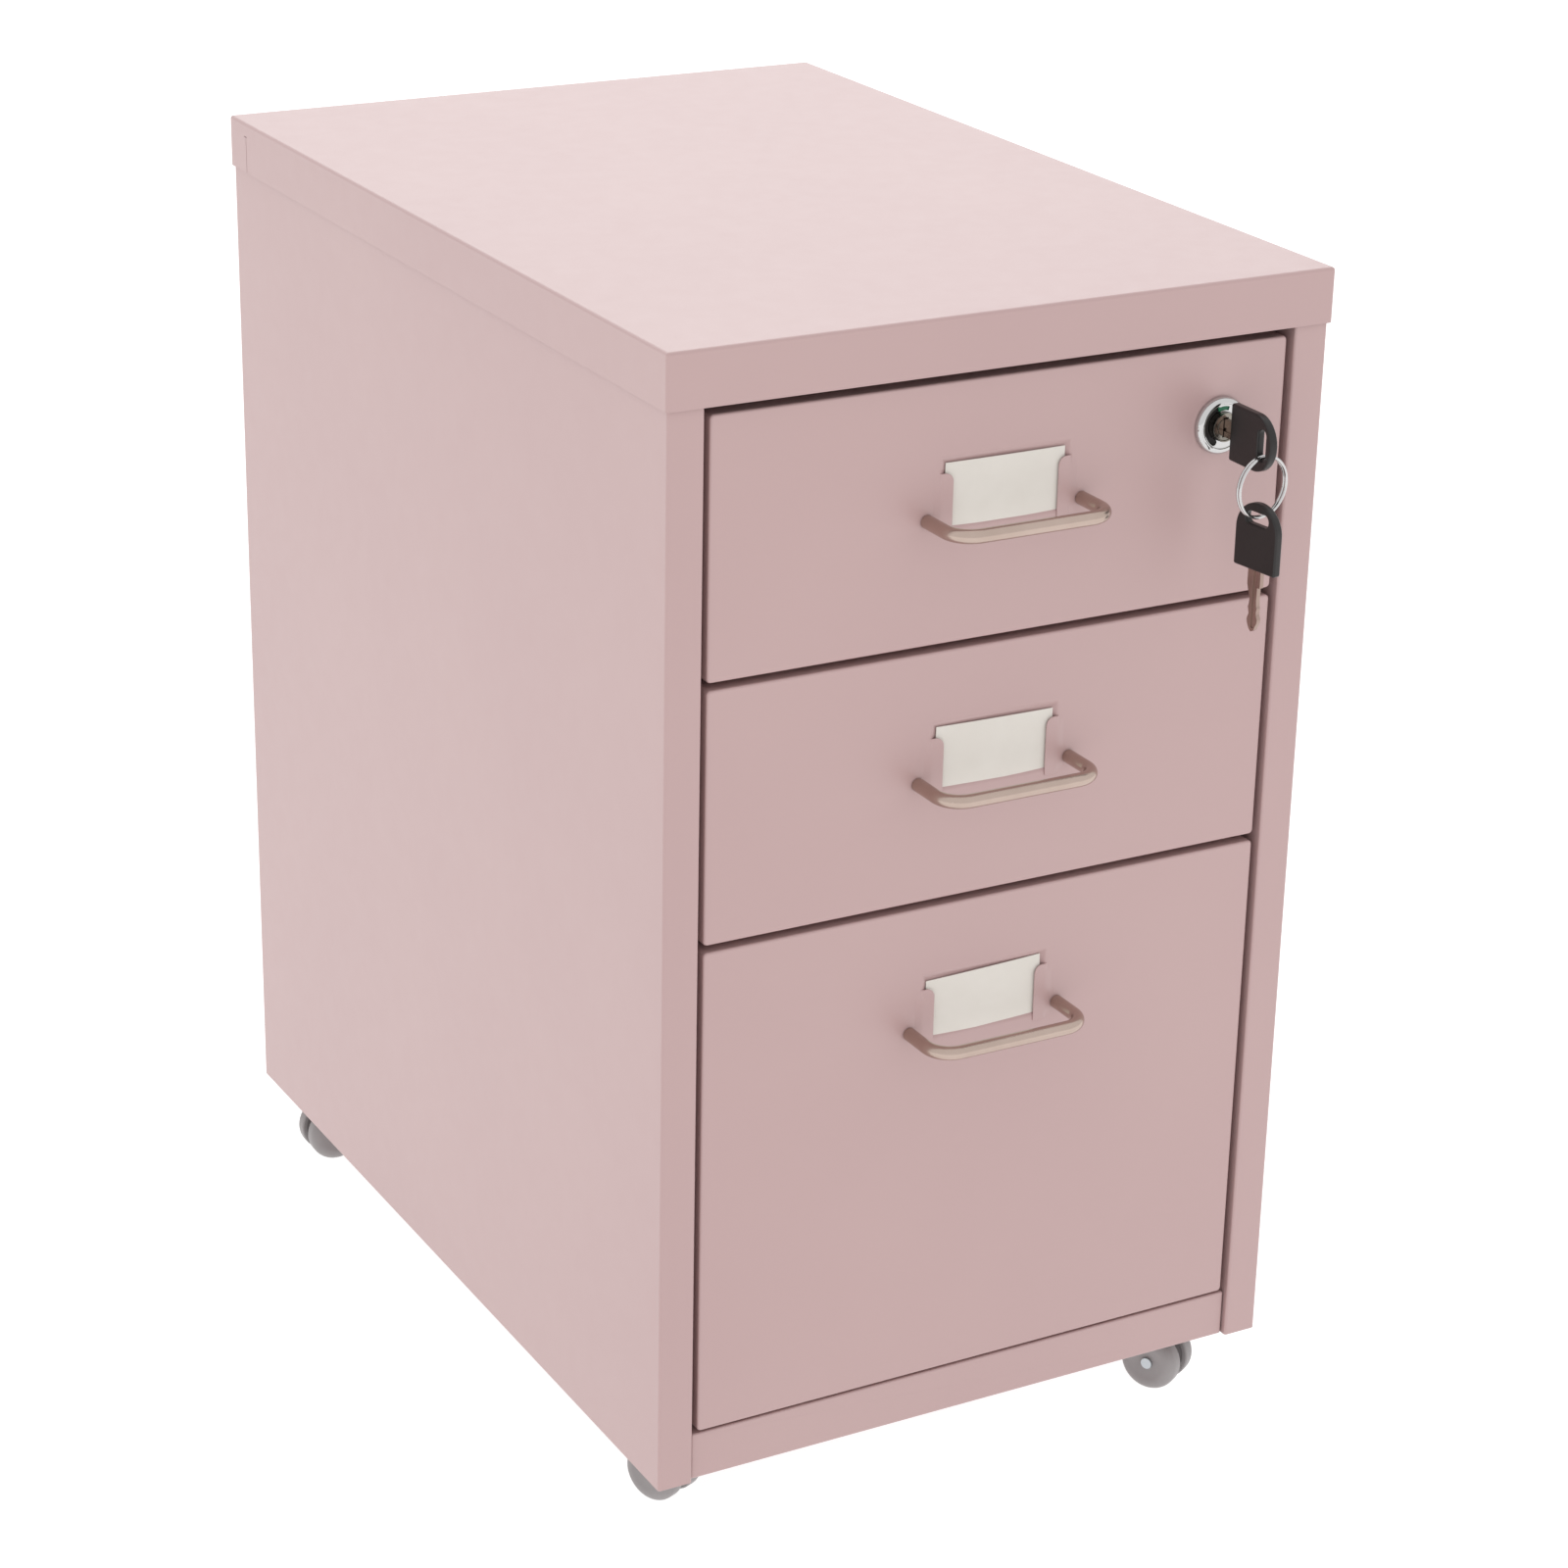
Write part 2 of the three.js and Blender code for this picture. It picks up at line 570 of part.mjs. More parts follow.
// wheel with a blind bore, flat inside and domed outside, axle along +Y
function castorWheel() {
  const bore = AXLE_RADIUS + BORE_CLEARANCE;
  return turned([
    [0, axleEnd + GAP],
    [bore, axleEnd + GAP],
    [bore, wheelInner],
    [wheelRadius - 1, wheelInner],
    [wheelRadius, wheelInner + 1],
    [wheelRadius, wheelOuter - 4],
    [wheelRadius - 1.5, wheelOuter - 1.6],
    [wheelRadius - 4.5, wheelOuter - 0.3],
    [0, wheelOuter],
  ], 28);
}

// ---------------------------------------------------------------- assembly
const cabinet = new THREE.Group();

const carcass = new THREE.Group();
cabinet.add(carcass);
place(carcass, 'top_cover', topCover(), PAINT);
place(carcass, 'left_side_panel', sidePanel(), PAINT);
place(carcass, 'right_side_panel', mirrored(sidePanel()), PAINT);
place(carcass, 'back_panel', backPanel(), PAINT);
place(carcass, 'bottom_panel', bottomPanel(), PAINT);
place(carcass, 'base_rail', baseRail(), PAINT);
place(carcass, 'upper_front_rail', upperFrontRail(), PAINT);

fronts.forEach((span, i) => {
  const number = i + 1;
  const hasLock = i === 0;
  const drawer = new THREE.Group();
  cabinet.add(drawer);
  const channel = runner(span[1] - BOX_LIP_DROP);
  place(carcass, `runner_${number}_left`, channel, GALVANISED);
  place(carcass, `runner_${number}_right`, mirrored(channel), GALVANISED);
  place(drawer, `drawer_${number}_front`, drawerFront(span, hasLock), PAINT);
  place(drawer, `drawer_${number}_box`, drawerBox(span, hasLock), PAINT);
  place(drawer, `drawer_${number}_card`, labelCard(span), CARD);
  const fittings = new THREE.Group();
  fittings.position.z = span[1] - HANDLE_BELOW_TOP;
  drawer.add(fittings);
  place(fittings, `drawer_${number}_handle`, handle(), NICKEL);
  place(fittings, `drawer_${number}_screw_left`, handleScrew(), GALVANISED).position.x = -HANDLE_CENTRES / 2;
  place(fittings, `drawer_${number}_screw_right`, handleScrew(), GALVANISED).position.x = HANDLE_CENTRES / 2;
});

const lock = new THREE.Group();
lock.position.set(lockX, 0, firstTop - LOCK_BELOW_TOP);
cabinet.add(lock);
place(lock, 'lock_housing', lockHousing(), CHROME);
place(lock, 'lock_nut', lockNut(), GALVANISED);
place(lock, 'lock_plug', lockPlug(), CHROME);
place(lock, 'lock_cam', lockCam(), GALVANISED);

// the first key is in the lock; the ring hangs on the lower end of its hole
const firstKey = new THREE.Group();
firstKey.position.y = headBase;
lock.add(firstKey);
place(firstKey, 'key_1_head', keyHead(), BLACK_PLASTIC);
place(firstKey, 'key_1_blade', keyBlade(), BRASS);

const wireHalf = RING_WIRE / 2;
const ringCentreline = RING_DIAMETER / 2 - wireHalf;
const hanging = new THREE.Group();
hanging.position.set(0, KEY_HOLE_INSET - KEY_HEAD_LENGTH, wireHalf + GAP - KEY_HOLE_LENGTH / 2);
hanging.rotation.z = THREE.MathUtils.degToRad(KEYS_YAW);
firstKey.add(hanging);
place(hanging, 'key_ring', keyRing(), CHROME).position.z = -ringCentreline;

// the second key hangs blade down from the bottom of the ring by the edge of its hole
const secondKey = new THREE.Group();
const holeEdge = KEY_HEAD_LENGTH - KEY_HOLE_INSET + KEY_HOLE_WIDTH / 2;
secondKey.position.z = wireHalf + GAP - 2 * ringCentreline - holeEdge;
secondKey.rotation.x = -Math.PI / 2;
hanging.add(secondKey);
place(secondKey, 'key_2_head', keyHead(), BLACK_PLASTIC);
place(secondKey, 'key_2_blade', keyBlade(), BRASS);

for (const [corner, x, y, yaw] of castorCorners) {
  const castor = new THREE.Group();
  castor.position.set(x, y, 0);
  castor.rotation.z = THREE.MathUtils.degToRad(yaw);
  cabinet.add(castor);
  place(castor, `castor_${corner}_stem`, castorStem(), GALVANISED);
  place(castor, `castor_${corner}_bracket`, castorBracket(), GALVANISED);
  const running = new THREE.Group();
  running.position.set(CASTOR_TRAIL, 0, wheelRadius);
  castor.add(running);
  place(running, `castor_${corner}_axle`, rod(AXLE_RADIUS, -axleEnd, axleEnd, 'y', 16), GALVANISED);
  place(running, `castor_${corner}_wheel_a`, castorWheel(), GREY_PLASTIC);
  place(running, `castor_${corner}_wheel_b`, castorWheel(), GREY_PLASTIC).rotation.z = Math.PI;
}

// the origin is on the floor, at the middle of the whole footprint
const extent = new THREE.Box3().setFromObject(cabinet);
const centre = extent.getCenter(new THREE.Vector3());
cabinet.position.set(-centre.x, -centre.y, -extent.min.z);

export default cabinet;
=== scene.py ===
# %% [markdown]
# # A pink steel drawer unit on castors
#
# The frame gives every part of the cabinet at its real size and place. This lesson dresses that frame:
# folded sheet steel, wire handles, a chrome lock with its keys, paper cards and plastic wheels.
# Everything is in metres, +Z is up, and the drawers open towards -Y.

# %% Load the frame
import json
import math
from contextlib import contextmanager

import bmesh
import bpy
from mathutils import Matrix, Quaternion, Vector


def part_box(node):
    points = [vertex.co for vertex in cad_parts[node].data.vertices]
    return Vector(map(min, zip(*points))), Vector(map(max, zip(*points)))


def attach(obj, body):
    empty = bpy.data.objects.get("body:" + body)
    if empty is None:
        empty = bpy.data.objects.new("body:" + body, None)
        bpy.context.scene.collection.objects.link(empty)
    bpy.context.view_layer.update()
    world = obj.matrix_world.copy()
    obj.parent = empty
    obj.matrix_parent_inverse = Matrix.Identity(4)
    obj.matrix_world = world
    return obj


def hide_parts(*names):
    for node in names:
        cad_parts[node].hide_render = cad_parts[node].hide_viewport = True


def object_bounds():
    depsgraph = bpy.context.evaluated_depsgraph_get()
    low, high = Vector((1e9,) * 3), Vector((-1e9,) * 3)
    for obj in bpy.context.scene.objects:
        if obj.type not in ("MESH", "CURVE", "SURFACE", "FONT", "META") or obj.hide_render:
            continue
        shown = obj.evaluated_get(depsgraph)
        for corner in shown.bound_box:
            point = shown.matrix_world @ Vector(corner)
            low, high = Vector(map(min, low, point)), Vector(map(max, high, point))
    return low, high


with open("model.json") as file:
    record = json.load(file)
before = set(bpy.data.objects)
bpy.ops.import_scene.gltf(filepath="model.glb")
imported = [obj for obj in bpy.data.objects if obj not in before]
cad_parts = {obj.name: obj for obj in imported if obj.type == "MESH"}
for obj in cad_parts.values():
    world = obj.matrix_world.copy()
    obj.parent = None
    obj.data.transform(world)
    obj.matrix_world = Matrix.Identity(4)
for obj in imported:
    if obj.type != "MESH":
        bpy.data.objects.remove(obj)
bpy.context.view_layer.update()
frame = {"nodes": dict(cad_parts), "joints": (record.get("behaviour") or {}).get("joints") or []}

MM = 0.001

# %% [markdown]
# ## Camera, floor and light
#
# The camera stands well back with a long lens, left of the cabinet and a little above it, so upright
# edges stay almost parallel. The floor is a plain pale sheet. Light is what makes satin paint read:
# an even pale surround, a broad soft source over the top, and one low behind the right rear corner,
# which the flat top mirrors towards the camera.

# %% Place the camera
low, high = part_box("top_cover")
body_middle_y = (low.y + high.y) / 2
AIM = Vector((0.0226, body_middle_y, 0.2249))
AZIMUTH, ELEVATION, ROLL = math.radians(-29.17), math.radians(22.07), math.radians(1.2)
DISTANCE = 1.6595

backwards = Vector((
    math.sin(AZIMUTH) * math.cos(ELEVATION),
    -math.cos(AZIMUTH) * math.cos(ELEVATION),
    math.sin(ELEVATION),
))
camera_data = bpy.data.cameras.new("camera")
camera_data.lens = 89.4
camera_data.sensor_width = 36
camera = bpy.data.objects.new("camera", camera_data)
camera.rotation_mode = "QUATERNION"
camera.location = AIM + DISTANCE * backwards
camera.rotation_quaternion = (-backwards).to_track_quat("-Z", "Y") @ Quaternion((0, 0, 1), ROLL)
bpy.context.scene.collection.objects.link(camera)
bpy.context.scene.camera = camera
print("camera at", [round(c, 3) for c in camera.location])

# %% Set the surround and the lamps
bpy.context.scene.view_settings.view_transform = "Standard"
world = bpy.data.worlds.new("surround")
bpy.context.scene.world = world
world.use_nodes = True
world.node_tree.nodes["Background"].inputs["Color"].default_value = (1.0, 0.99, 0.99, 1)
world.node_tree.nodes["Background"].inputs["Strength"].default_value = 1.0


def soft_lamp(name, place, aim, size, power, tint=(1, 1, 1)):
    data = bpy.data.lights.new(name, "AREA")
    data.shape = "RECTANGLE"
    data.size, data.size_y = size
    data.energy = power
    data.color = tint
    lamp = bpy.data.objects.new(name, data)
    lamp.location = place
    lamp.rotation_mode = "QUATERNION"
    lamp.rotation_quaternion = (Vector(aim) - Vector(place)).to_track_quat("-Z", "Y")
    bpy.context.scene.collection.objects.link(lamp)
    return lamp


soft_lamp("overhead_softbox", (0.1, 1.1, 2.2), (0, 0, 0.4), (2.0, 1.8), 10)
soft_lamp("back_wall", (1.2, 2.1, 1.5), (0, 0, 0.45), (2.0, 1.3), 6)

# %% [markdown]
# ## Small tools for modelling
#
# Modelling here goes the way a hand works: add a primitive, enter edit mode, pick faces or edges by
# where they are, and extrude, inset or bevel them. These helpers only save typing.

# %% Helpers for edit mode


def clear_selection():
    if bpy.context.object and bpy.context.object.mode != "OBJECT":
        bpy.ops.object.mode_set(mode="OBJECT")
    bpy.ops.object.select_all(action="DESELECT")


def make_active(piece):
    clear_selection()
    piece.select_set(True)
    bpy.context.view_layer.objects.active = piece


@contextmanager
def editing(piece, kind="FACE"):
    make_active(piece)
    bpy.ops.object.mode_set(mode="EDIT")
    bpy.ops.mesh.select_mode(type=kind)
    bpy.ops.mesh.select_all(action="DESELECT")
    yield piece
    bpy.ops.object.mode_set(mode="OBJECT")


def pick_faces(test):
    """Selects the faces whose middle and normal pass the test."""
    bpy.ops.mesh.select_all(action="DESELECT")
    mesh = bmesh.from_edit_mesh(bpy.context.object.data)
    chosen = [f for f in mesh.faces if test(f.calc_center_median(), f.normal)]
    for face in chosen:
        face.select_set(True)
    bmesh.update_edit_mesh(bpy.context.object.data)


def pick_edges(test):
    """Selects the edges whose two ends pass the test."""
    bpy.ops.mesh.select_all(action="DESELECT")
    mesh = bmesh.from_edit_mesh(bpy.context.object.data)
    chosen = [e for e in mesh.edges if test(e.verts[0].co, e.verts[1].co)]
    for edge in chosen:
        edge.select_set(True)
    bmesh.update_edit_mesh(bpy.context.object.data)


def pick_corners(test):
    """Selects the vertices that pass the test."""
    bpy.ops.mesh.select_all(action="DESELECT")
    mesh = bmesh.from_edit_mesh(bpy.context.object.data)
    for vertex in mesh.verts:
        vertex.select_set(test(vertex.co))
    bmesh.update_edit_mesh(bpy.context.object.data)


def near(a, b, slack=1e-5):
    return abs(a - b) < slack


def bisect_at(point, normal):
    bpy.ops.mesh.select_all(action="SELECT")
    bpy.ops.mesh.bisect(plane_co=point, plane_no=normal)


def extrude_edges(step):
    bpy.ops.mesh.extrude_edges_move(TRANSFORM_OT_translate={"value": step})


# %% Helpers for primitives and modifiers


def settle(piece, name=None):
    """Puts the piece's place, turn and size into its mesh."""
    if name:
        piece.name = name
        piece.data.name = name
    make_active(piece)
    bpy.ops.object.transform_apply(location=True, rotation=True, scale=True)
    return piece


def add_block(name, low, high):
    clear_selection()
    low, high = Vector(low), Vector(high)
    bpy.ops.mesh.primitive_cube_add(size=1, location=(low + high) / 2)
    bpy.context.object.scale = high - low
    return settle(bpy.context.object, name)


def add_round_bar(name, centre, radius, length, axis="Y", sides=48):
    clear_selection()
    turn = {"X": (0, math.pi / 2, 0), "Y": (math.pi / 2, 0, 0), "Z": (0, 0, 0)}[axis]
    bpy.ops.mesh.primitive_cylinder_add(
        vertices=sides, radius=radius, depth=length, location=centre, rotation=turn)
    return settle(bpy.context.object, name)


def apply_modifier(piece, kind, **settings):
    make_active(piece)
    modifier = piece.modifiers.new(kind.lower(), kind)
    for key, value in settings.items():
        setattr(modifier, key, value)
    bpy.ops.object.modifier_apply(modifier=modifier.name)
    return piece


def carve(piece, cutter):
    """Takes the cutter's shape out of the piece and throws the cutter away."""
    apply_modifier(piece, "BOOLEAN", operation="DIFFERENCE", solver="EXACT", object=cutter)
    bpy.data.objects.remove(cutter)
    return piece


def ease_edges(piece, width, segments=2, angle=40):
    return apply_modifier(
        piece, "BEVEL", width=width, segments=segments, limit_method="ANGLE",
        angle_limit=math.radians(angle), harden_normals=False)


def thicken(piece, thickness):
    """Gives an open sheet its thickness, inwards from the outer face."""
    return apply_modifier(piece, "SOLIDIFY", thickness=thickness, offset=-1, use_even_offset=True)


def copy_piece(piece, name, matrix=None):
    twin = piece.copy()
    twin.data = piece.data.copy()
    twin.name = twin.data.name = name
    bpy.context.scene.collection.objects.link(twin)
    if matrix is not None:
        twin.matrix_world = matrix
        settle(twin)
    return twin


def merged_copy(node):
    """A copy of a frame node as one clean shell with flat faces."""
    source = frame["nodes"][node]
    twin = copy_piece(source, node + "_fine")
    twin.parent = None
    for key in [k for k in twin.keys() if k.startswith("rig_")]:
        del twin[key]
    with editing(twin, "VERT"):
        bpy.ops.mesh.select_all(action="SELECT")
        bpy.ops.mesh.remove_doubles(threshold=1e-6)
        bpy.ops.mesh.dissolve_limited(angle_limit=math.radians(0.5))
    return twin


def dress(piece, body, finish, replaces=(), smooth=30):
    """Last step for a piece: smooth shading that keeps flat faces flat, its material and its body."""
    make_active(piece)
    bpy.ops.object.shade_smooth_by_angle(angle=math.radians(smooth))
    apply_modifier(piece, "WEIGHTED_NORMAL", mode="FACE_AREA", weight=100, keep_sharp=True)
    piece.data.materials.clear()
    piece.data.materials.append(finish)
    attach(piece, body)
    if replaces:
        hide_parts(*replaces)
    return piece


print("helpers ready")

# %% [markdown]
# ## Finishes
#
# A finish is a small network of nodes. Written out node by node, shader maths is hard to read, so one
# class wraps a socket and lets ordinary Python sums add the Math nodes.

# %% A socket that can be added and multiplied


class Wire:
    def __init__(self, finish, socket):
        self.finish = finish
        self.socket = socket

    def math(self, operation, *values):
        return self.finish.node("ShaderNodeMath", {"operation": operation}, *values)

    def __add__(self, other):
        return self.math("ADD", self, other)

    __radd__ = __add__

    def __sub__(self, other):
        return self.math("SUBTRACT", self, other)

    def __rsub__(self, other):
        return self.math("SUBTRACT", other, self)

    def __mul__(self, other):
        return self.math("MULTIPLY", self, other)

    __rmul__ = __mul__

    def clamped(self):
        return self.math("MAXIMUM", self.math("MINIMUM", self, 1.0), 0.0)


class Finish:
    """A material under construction."""

    def __init__(self, name, **surface):
        self.material = bpy.data.materials.new(name)
        self.material.use_nodes = True
        self.tree = self.material.node_tree
        self.shader = self.tree.nodes["Principled BSDF"]
        self.place = self.node("ShaderNodeTexCoord", output="Object")
        for socket, value in surface.items():
            self.shader.inputs[socket.replace("_", " ")].default_value = value

    def node(self, kind, settings=None, *values, output=0, **named):
        made = self.tree.nodes.new(kind)
        for key, value in (settings or {}).items():
            setattr(made, key, value)
        pairs = list(zip(range(len(values)), values))
        pairs += [(key.replace("_", " "), value) for key, value in named.items()]
        for key, value in pairs:
            if isinstance(value, Wire):
                self.tree.links.new(value.socket, made.inputs[key])
            else:
                made.inputs[key].default_value = value
        return Wire(self, made.outputs[output])

    def noise(self, scale, detail=2.0, rough=0.5, stretch=None):
        place = self.place
        if stretch:
            place = self.node("ShaderNodeMapping", Vector=self.place, Scale=stretch)
        return self.node(
            "ShaderNodeTexNoise", Vector=place, Scale=scale, Detail=detail, Roughness=rough)

    def blend(self, amount, first, second):
        made = self.tree.nodes.new("ShaderNodeMix")
        made.data_type = "RGBA"
        for number, value in ((0, amount), (6, first), (7, second)):
            socket = made.inputs[number]
            if isinstance(value, Wire):
                self.tree.links.new(value.socket, socket)
            else:
                socket.default_value = value
        return Wire(self, made.outputs[2])

    def feed(self, socket, wire):
        self.tree.links.new(wire.socket, self.shader.inputs[socket])

    def bump(self, height, distance, strength=1.0):
        relief = self.node("ShaderNodeBump", Height=height, Distance=distance, Strength=strength)
        self.feed("Normal", relief)


def rgb(red, green, blue):
    """A colour as a paint card gives it, from 0 to 255, turned into light."""
    def channel(value):
        value /= 255
        return value / 12.92 if value <= 0.04045 else ((value + 0.055) / 1.055) ** 2.4
    return (channel(red), channel(green), channel(blue), 1)


print("finish tools ready")

# %% [markdown]
# ### Powder coat
#
# Powder is sprayed dry and baked until it flows. It never flows quite flat: a fine orange peel of about
# a millimetre stays, over a slower unevenness. Colour barely changes, gloss changes a little more.

# %% Paint


def powder_coat(name, colour, darker, roughness=0.42):
    finish = Finish(name, Specular_IOR_Level=0.7, Coat_Weight=0.6, Coat_Roughness=0.42)
    cloud = finish.noise(9, 3)
    peel = finish.noise(900, 2)
    slow = finish.noise(120, 2)
    finish.feed("Base Color", finish.blend((cloud * 1.4 - 0.2).clamped(), colour, darker))
    finish.feed("Roughness", roughness + 0.10 * slow + 0.05 * peel - 0.07)
    finish.bump(peel * 0.7 + slow * 0.3, 0.00006, 0.55)
    return finish.material


paint = powder_coat("pink_powder_coat", rgb(184, 154, 152), rgb(180, 149, 148))
# The same pink powder coat made darker, for the pieces seen only through the gaps: painted shade for the
# dark inside of the cabinet.
shaded_inner_paint = powder_coat("pink_powder_coat_painted_shade", rgb(150, 118, 118), rgb(140, 108, 108), 0.5)
print("paint ready")

# %% [markdown]
# ### Metals
#
# Satin nickel is brushed along the wire before it is plated, so its grain runs one way. Zinc plate has a
# faint blue and yellow spangle. Chrome is almost a mirror, with the finest of wiping marks.

# %% Metals


def plated(name, colour, tint, roughness, spread, grain=400, stretch=(1, 1, 1), depth=0.00002):
    finish = Finish(name, Metallic=1.0)
    cloud = finish.noise(60, 3)
    streaks = finish.noise(grain, 3, 0.6, stretch)
    finish.feed("Base Color", finish.blend(cloud, colour, tint))
    finish.feed("Roughness", roughness + spread * (streaks - 0.5))
    finish.bump(streaks, depth, 0.4)
    return finish.material


satin_nickel = plated(
    "satin_nickel", rgb(196, 178, 168), rgb(176, 158, 146), 0.24, 0.14, 500, (0.08, 1, 1))
zinc = plated("zinc_plate", rgb(196, 204, 210), rgb(186, 188, 186), 0.34, 0.2, 250)
chrome = plated(
    "bright_chrome", rgb(206, 206, 204), rgb(192, 193, 195), 0.07, 0.05, 700, depth=0.000004)
core_metal = plated("lock_core_metal", rgb(150, 146, 138), rgb(126, 122, 114), 0.22, 0.15, 600)
key_metal = plated("key_metal", rgb(172, 150, 140), rgb(152, 132, 124), 0.3, 0.2, 500, (1, 1, 0.1))
print("metals ready")

# %% [markdown]
# ### Card, plastic and floor

# %% Card and plastics


def moulded(name, colour, worn, roughness, grain, depth, specular=0.4):
    finish = Finish(name, Specular_IOR_Level=specular)
    cloud = finish.noise(80, 3)
    fine = finish.noise(grain, 2)
    finish.feed("Base Color", finish.blend(cloud, colour, worn))
    finish.feed("Roughness", roughness + 0.12 * (fine - 0.5))
    finish.bump(fine, depth, 0.6)
    return finish.material


card_stock = moulded("card_stock", rgb(222, 218, 211), rgb(214, 209, 201), 0.85, 1500, 0.00004, 0.2)
black_plastic = moulded("black_plastic", rgb(38, 35, 35), rgb(30, 28, 28), 0.32, 1400, 0.00005)
green_plastic = moulded("green_plastic", rgb(40, 118, 84), rgb(30, 98, 70), 0.35, 1200, 0.00002)
wheel_plastic = moulded("wheel_plastic", rgb(156, 152, 152), rgb(142, 137, 137), 0.42, 700, 0.00006)
studio_floor = moulded("studio_floor", rgb(150, 149, 149), rgb(146, 145, 145), 0.9, 40, 0.0001, 0.1)
for socket, value in (("Emission Color", (1, 0.99, 0.99, 1)), ("Emission Strength", 0.92)):
    studio_floor.node_tree.nodes["Principled BSDF"].inputs[socket].default_value = value
print("plastics ready")

# %% [markdown]
# ## The floor

# %% Lay the floor
clear_selection()
bpy.ops.mesh.primitive_plane_add(size=12, location=(0, 0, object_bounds()[0][2] - 0.0002))
floor = settle(bpy.context.object, "studio_floor")
floor.data.materials.append(studio_floor)

# %% [markdown]
# ## The carcass
#
# Each panel is one sheet, folded on a press. So it is modelled as a sheet: a plane is stretched to the
# flat side, its edges are extruded round each fold, the folds are bevelled to the bending radius, and
# only then does the sheet get its 0.8 mm of thickness.

# %% Folded sheets
SHEET = 0.8 * MM
BEND = 1.1 * MM
RETURN_FLANGE = 12 * MM


def outward(piece, direction):
    """Turns the sheet's faces so that the largest one looks along the direction."""
    with editing(piece):
        bpy.ops.mesh.select_all(action="SELECT")
        bpy.ops.mesh.normals_make_consistent(inside=False)
        mesh = bmesh.from_edit_mesh(piece.data)
        largest = max(mesh.faces, key=lambda f: f.calc_area())
        if largest.normal.dot(Vector(direction)) < 0:
            bpy.ops.mesh.flip_normals()


def side_panel(name, node, sign):
    """sign is -1 for the left side and 1 for the right one."""
    low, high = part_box(node)
    outer = low.x if sign < 0 else high.x
    stile = high.x - low.x
    clear_selection()
    middle = (outer, (low.y + high.y) / 2, (low.z + high.z) / 2)
    bpy.ops.mesh.primitive_plane_add(size=1, location=middle, rotation=(0, math.pi / 2, 0))
    bpy.context.object.scale = (high.z - low.z, high.y - low.y, 1)
    panel = settle(bpy.context.object, name)
    with editing(panel, "EDGE"):
        pick_edges(lambda a, b: near(a.y, low.y) and near(b.y, low.y))
        extrude_edges((-sign * stile, 0, 0))
        extrude_edges((0, RETURN_FLANGE, 0))
        pick_edges(lambda a, b: all(near(p.y, high.y) and near(p.x, outer) for p in (a, b)))
        extrude_edges((-sign * RETURN_FLANGE, 0, 0))
        upright = lambda a, b: near(a.x, b.x) and near(a.y, b.y)
        pick_edges(lambda a, b: upright(a, b) and (near(a.y, low.y) or near(a.x, outer)))
        bpy.ops.mesh.bevel(offset=BEND, segments=4, affect="EDGES")
    outward(panel, (sign, 0, 0))
    thicken(panel, SHEET)
    return ease_edges(panel, 0.15 * MM, 1, 60)


for node, sign in (("left_side_panel", -1), ("right_side_panel", 1)):
    panel = side_panel(node + "_sheet", node, sign)
    dress(panel, "carcass", paint, [node])
    print(panel.name, len(panel.data.polygons), "faces")

# %% [markdown]
# The top cover is a shallow pan turned upside down. Its skirt closes at the rear with a tab wrapped
# round from the back, which leaves a hairline slit on each side.

# %% Top cover


def pan(name, low, high, open_side, bend=BEND, corner=None):
    """A box without its open_side face: corner folds rounded first, then the rim of the flat side."""
    shell = add_block(name, low, high)
    direction = Vector(open_side)
    with editing(shell):
        pick_faces(lambda middle, normal: normal.dot(direction) > 0.9)
        bpy.ops.mesh.delete(type="FACE")
        bpy.ops.mesh.select_mode(type="EDGE")
        pick_edges(lambda a, b: abs((a - b).normalized().dot(direction)) > 0.9)
        bpy.ops.mesh.bevel(offset=corner or bend, segments=4, affect="EDGES")
        flat = (low if direction.dot(Vector((1, 1, 1))) > 0 else high)
        level = Vector(flat).dot(direction)
        pick_edges(lambda a, b: near(a.dot(direction), level) and near(b.dot(direction), level))
        bpy.ops.mesh.bevel(offset=bend, segments=4, affect="EDGES")
    return shell


low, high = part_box("top_cover")
cover = thicken(pan("top_cover_pan", low, high, (0, 0, -1), 1.3 * MM), SHEET)
TAB = 18.3 * MM
SLIT_TOP = 15.2 * MM
SLIT = 0.35 * MM
for side in (low.x, high.x):
    near_side, far_side = side - 2 * MM, side + 2 * MM
    slit_y = high.y - TAB
    slit_z = low.z + SLIT_TOP
    carve(cover, add_block(
        "slit_cutter", (near_side, slit_y, low.z - MM), (far_side, slit_y + SLIT, slit_z)))
    carve(cover, add_block(
        "slit_cutter", (near_side, slit_y - 0.5 * MM, slit_z), (far_side, slit_y + 2 * MM, slit_z + SLIT)))
dress(cover, "carcass", paint, ["top_cover"])
print("top cover:", len(cover.data.polygons), "faces")

# %% Base rail
low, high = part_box("base_rail")
rail = pan("base_rail_channel", low, high, (0, 1, 0), 0.9 * MM)
with editing(rail):
    pick_faces(lambda middle, normal: abs(normal.x) > 0.9)
    bpy.ops.mesh.delete(type="FACE")
thicken(rail, SHEET)
dress(rail, "carcass", paint, ["base_rail"])
print("base rail:", len(rail.data.polygons), "faces")
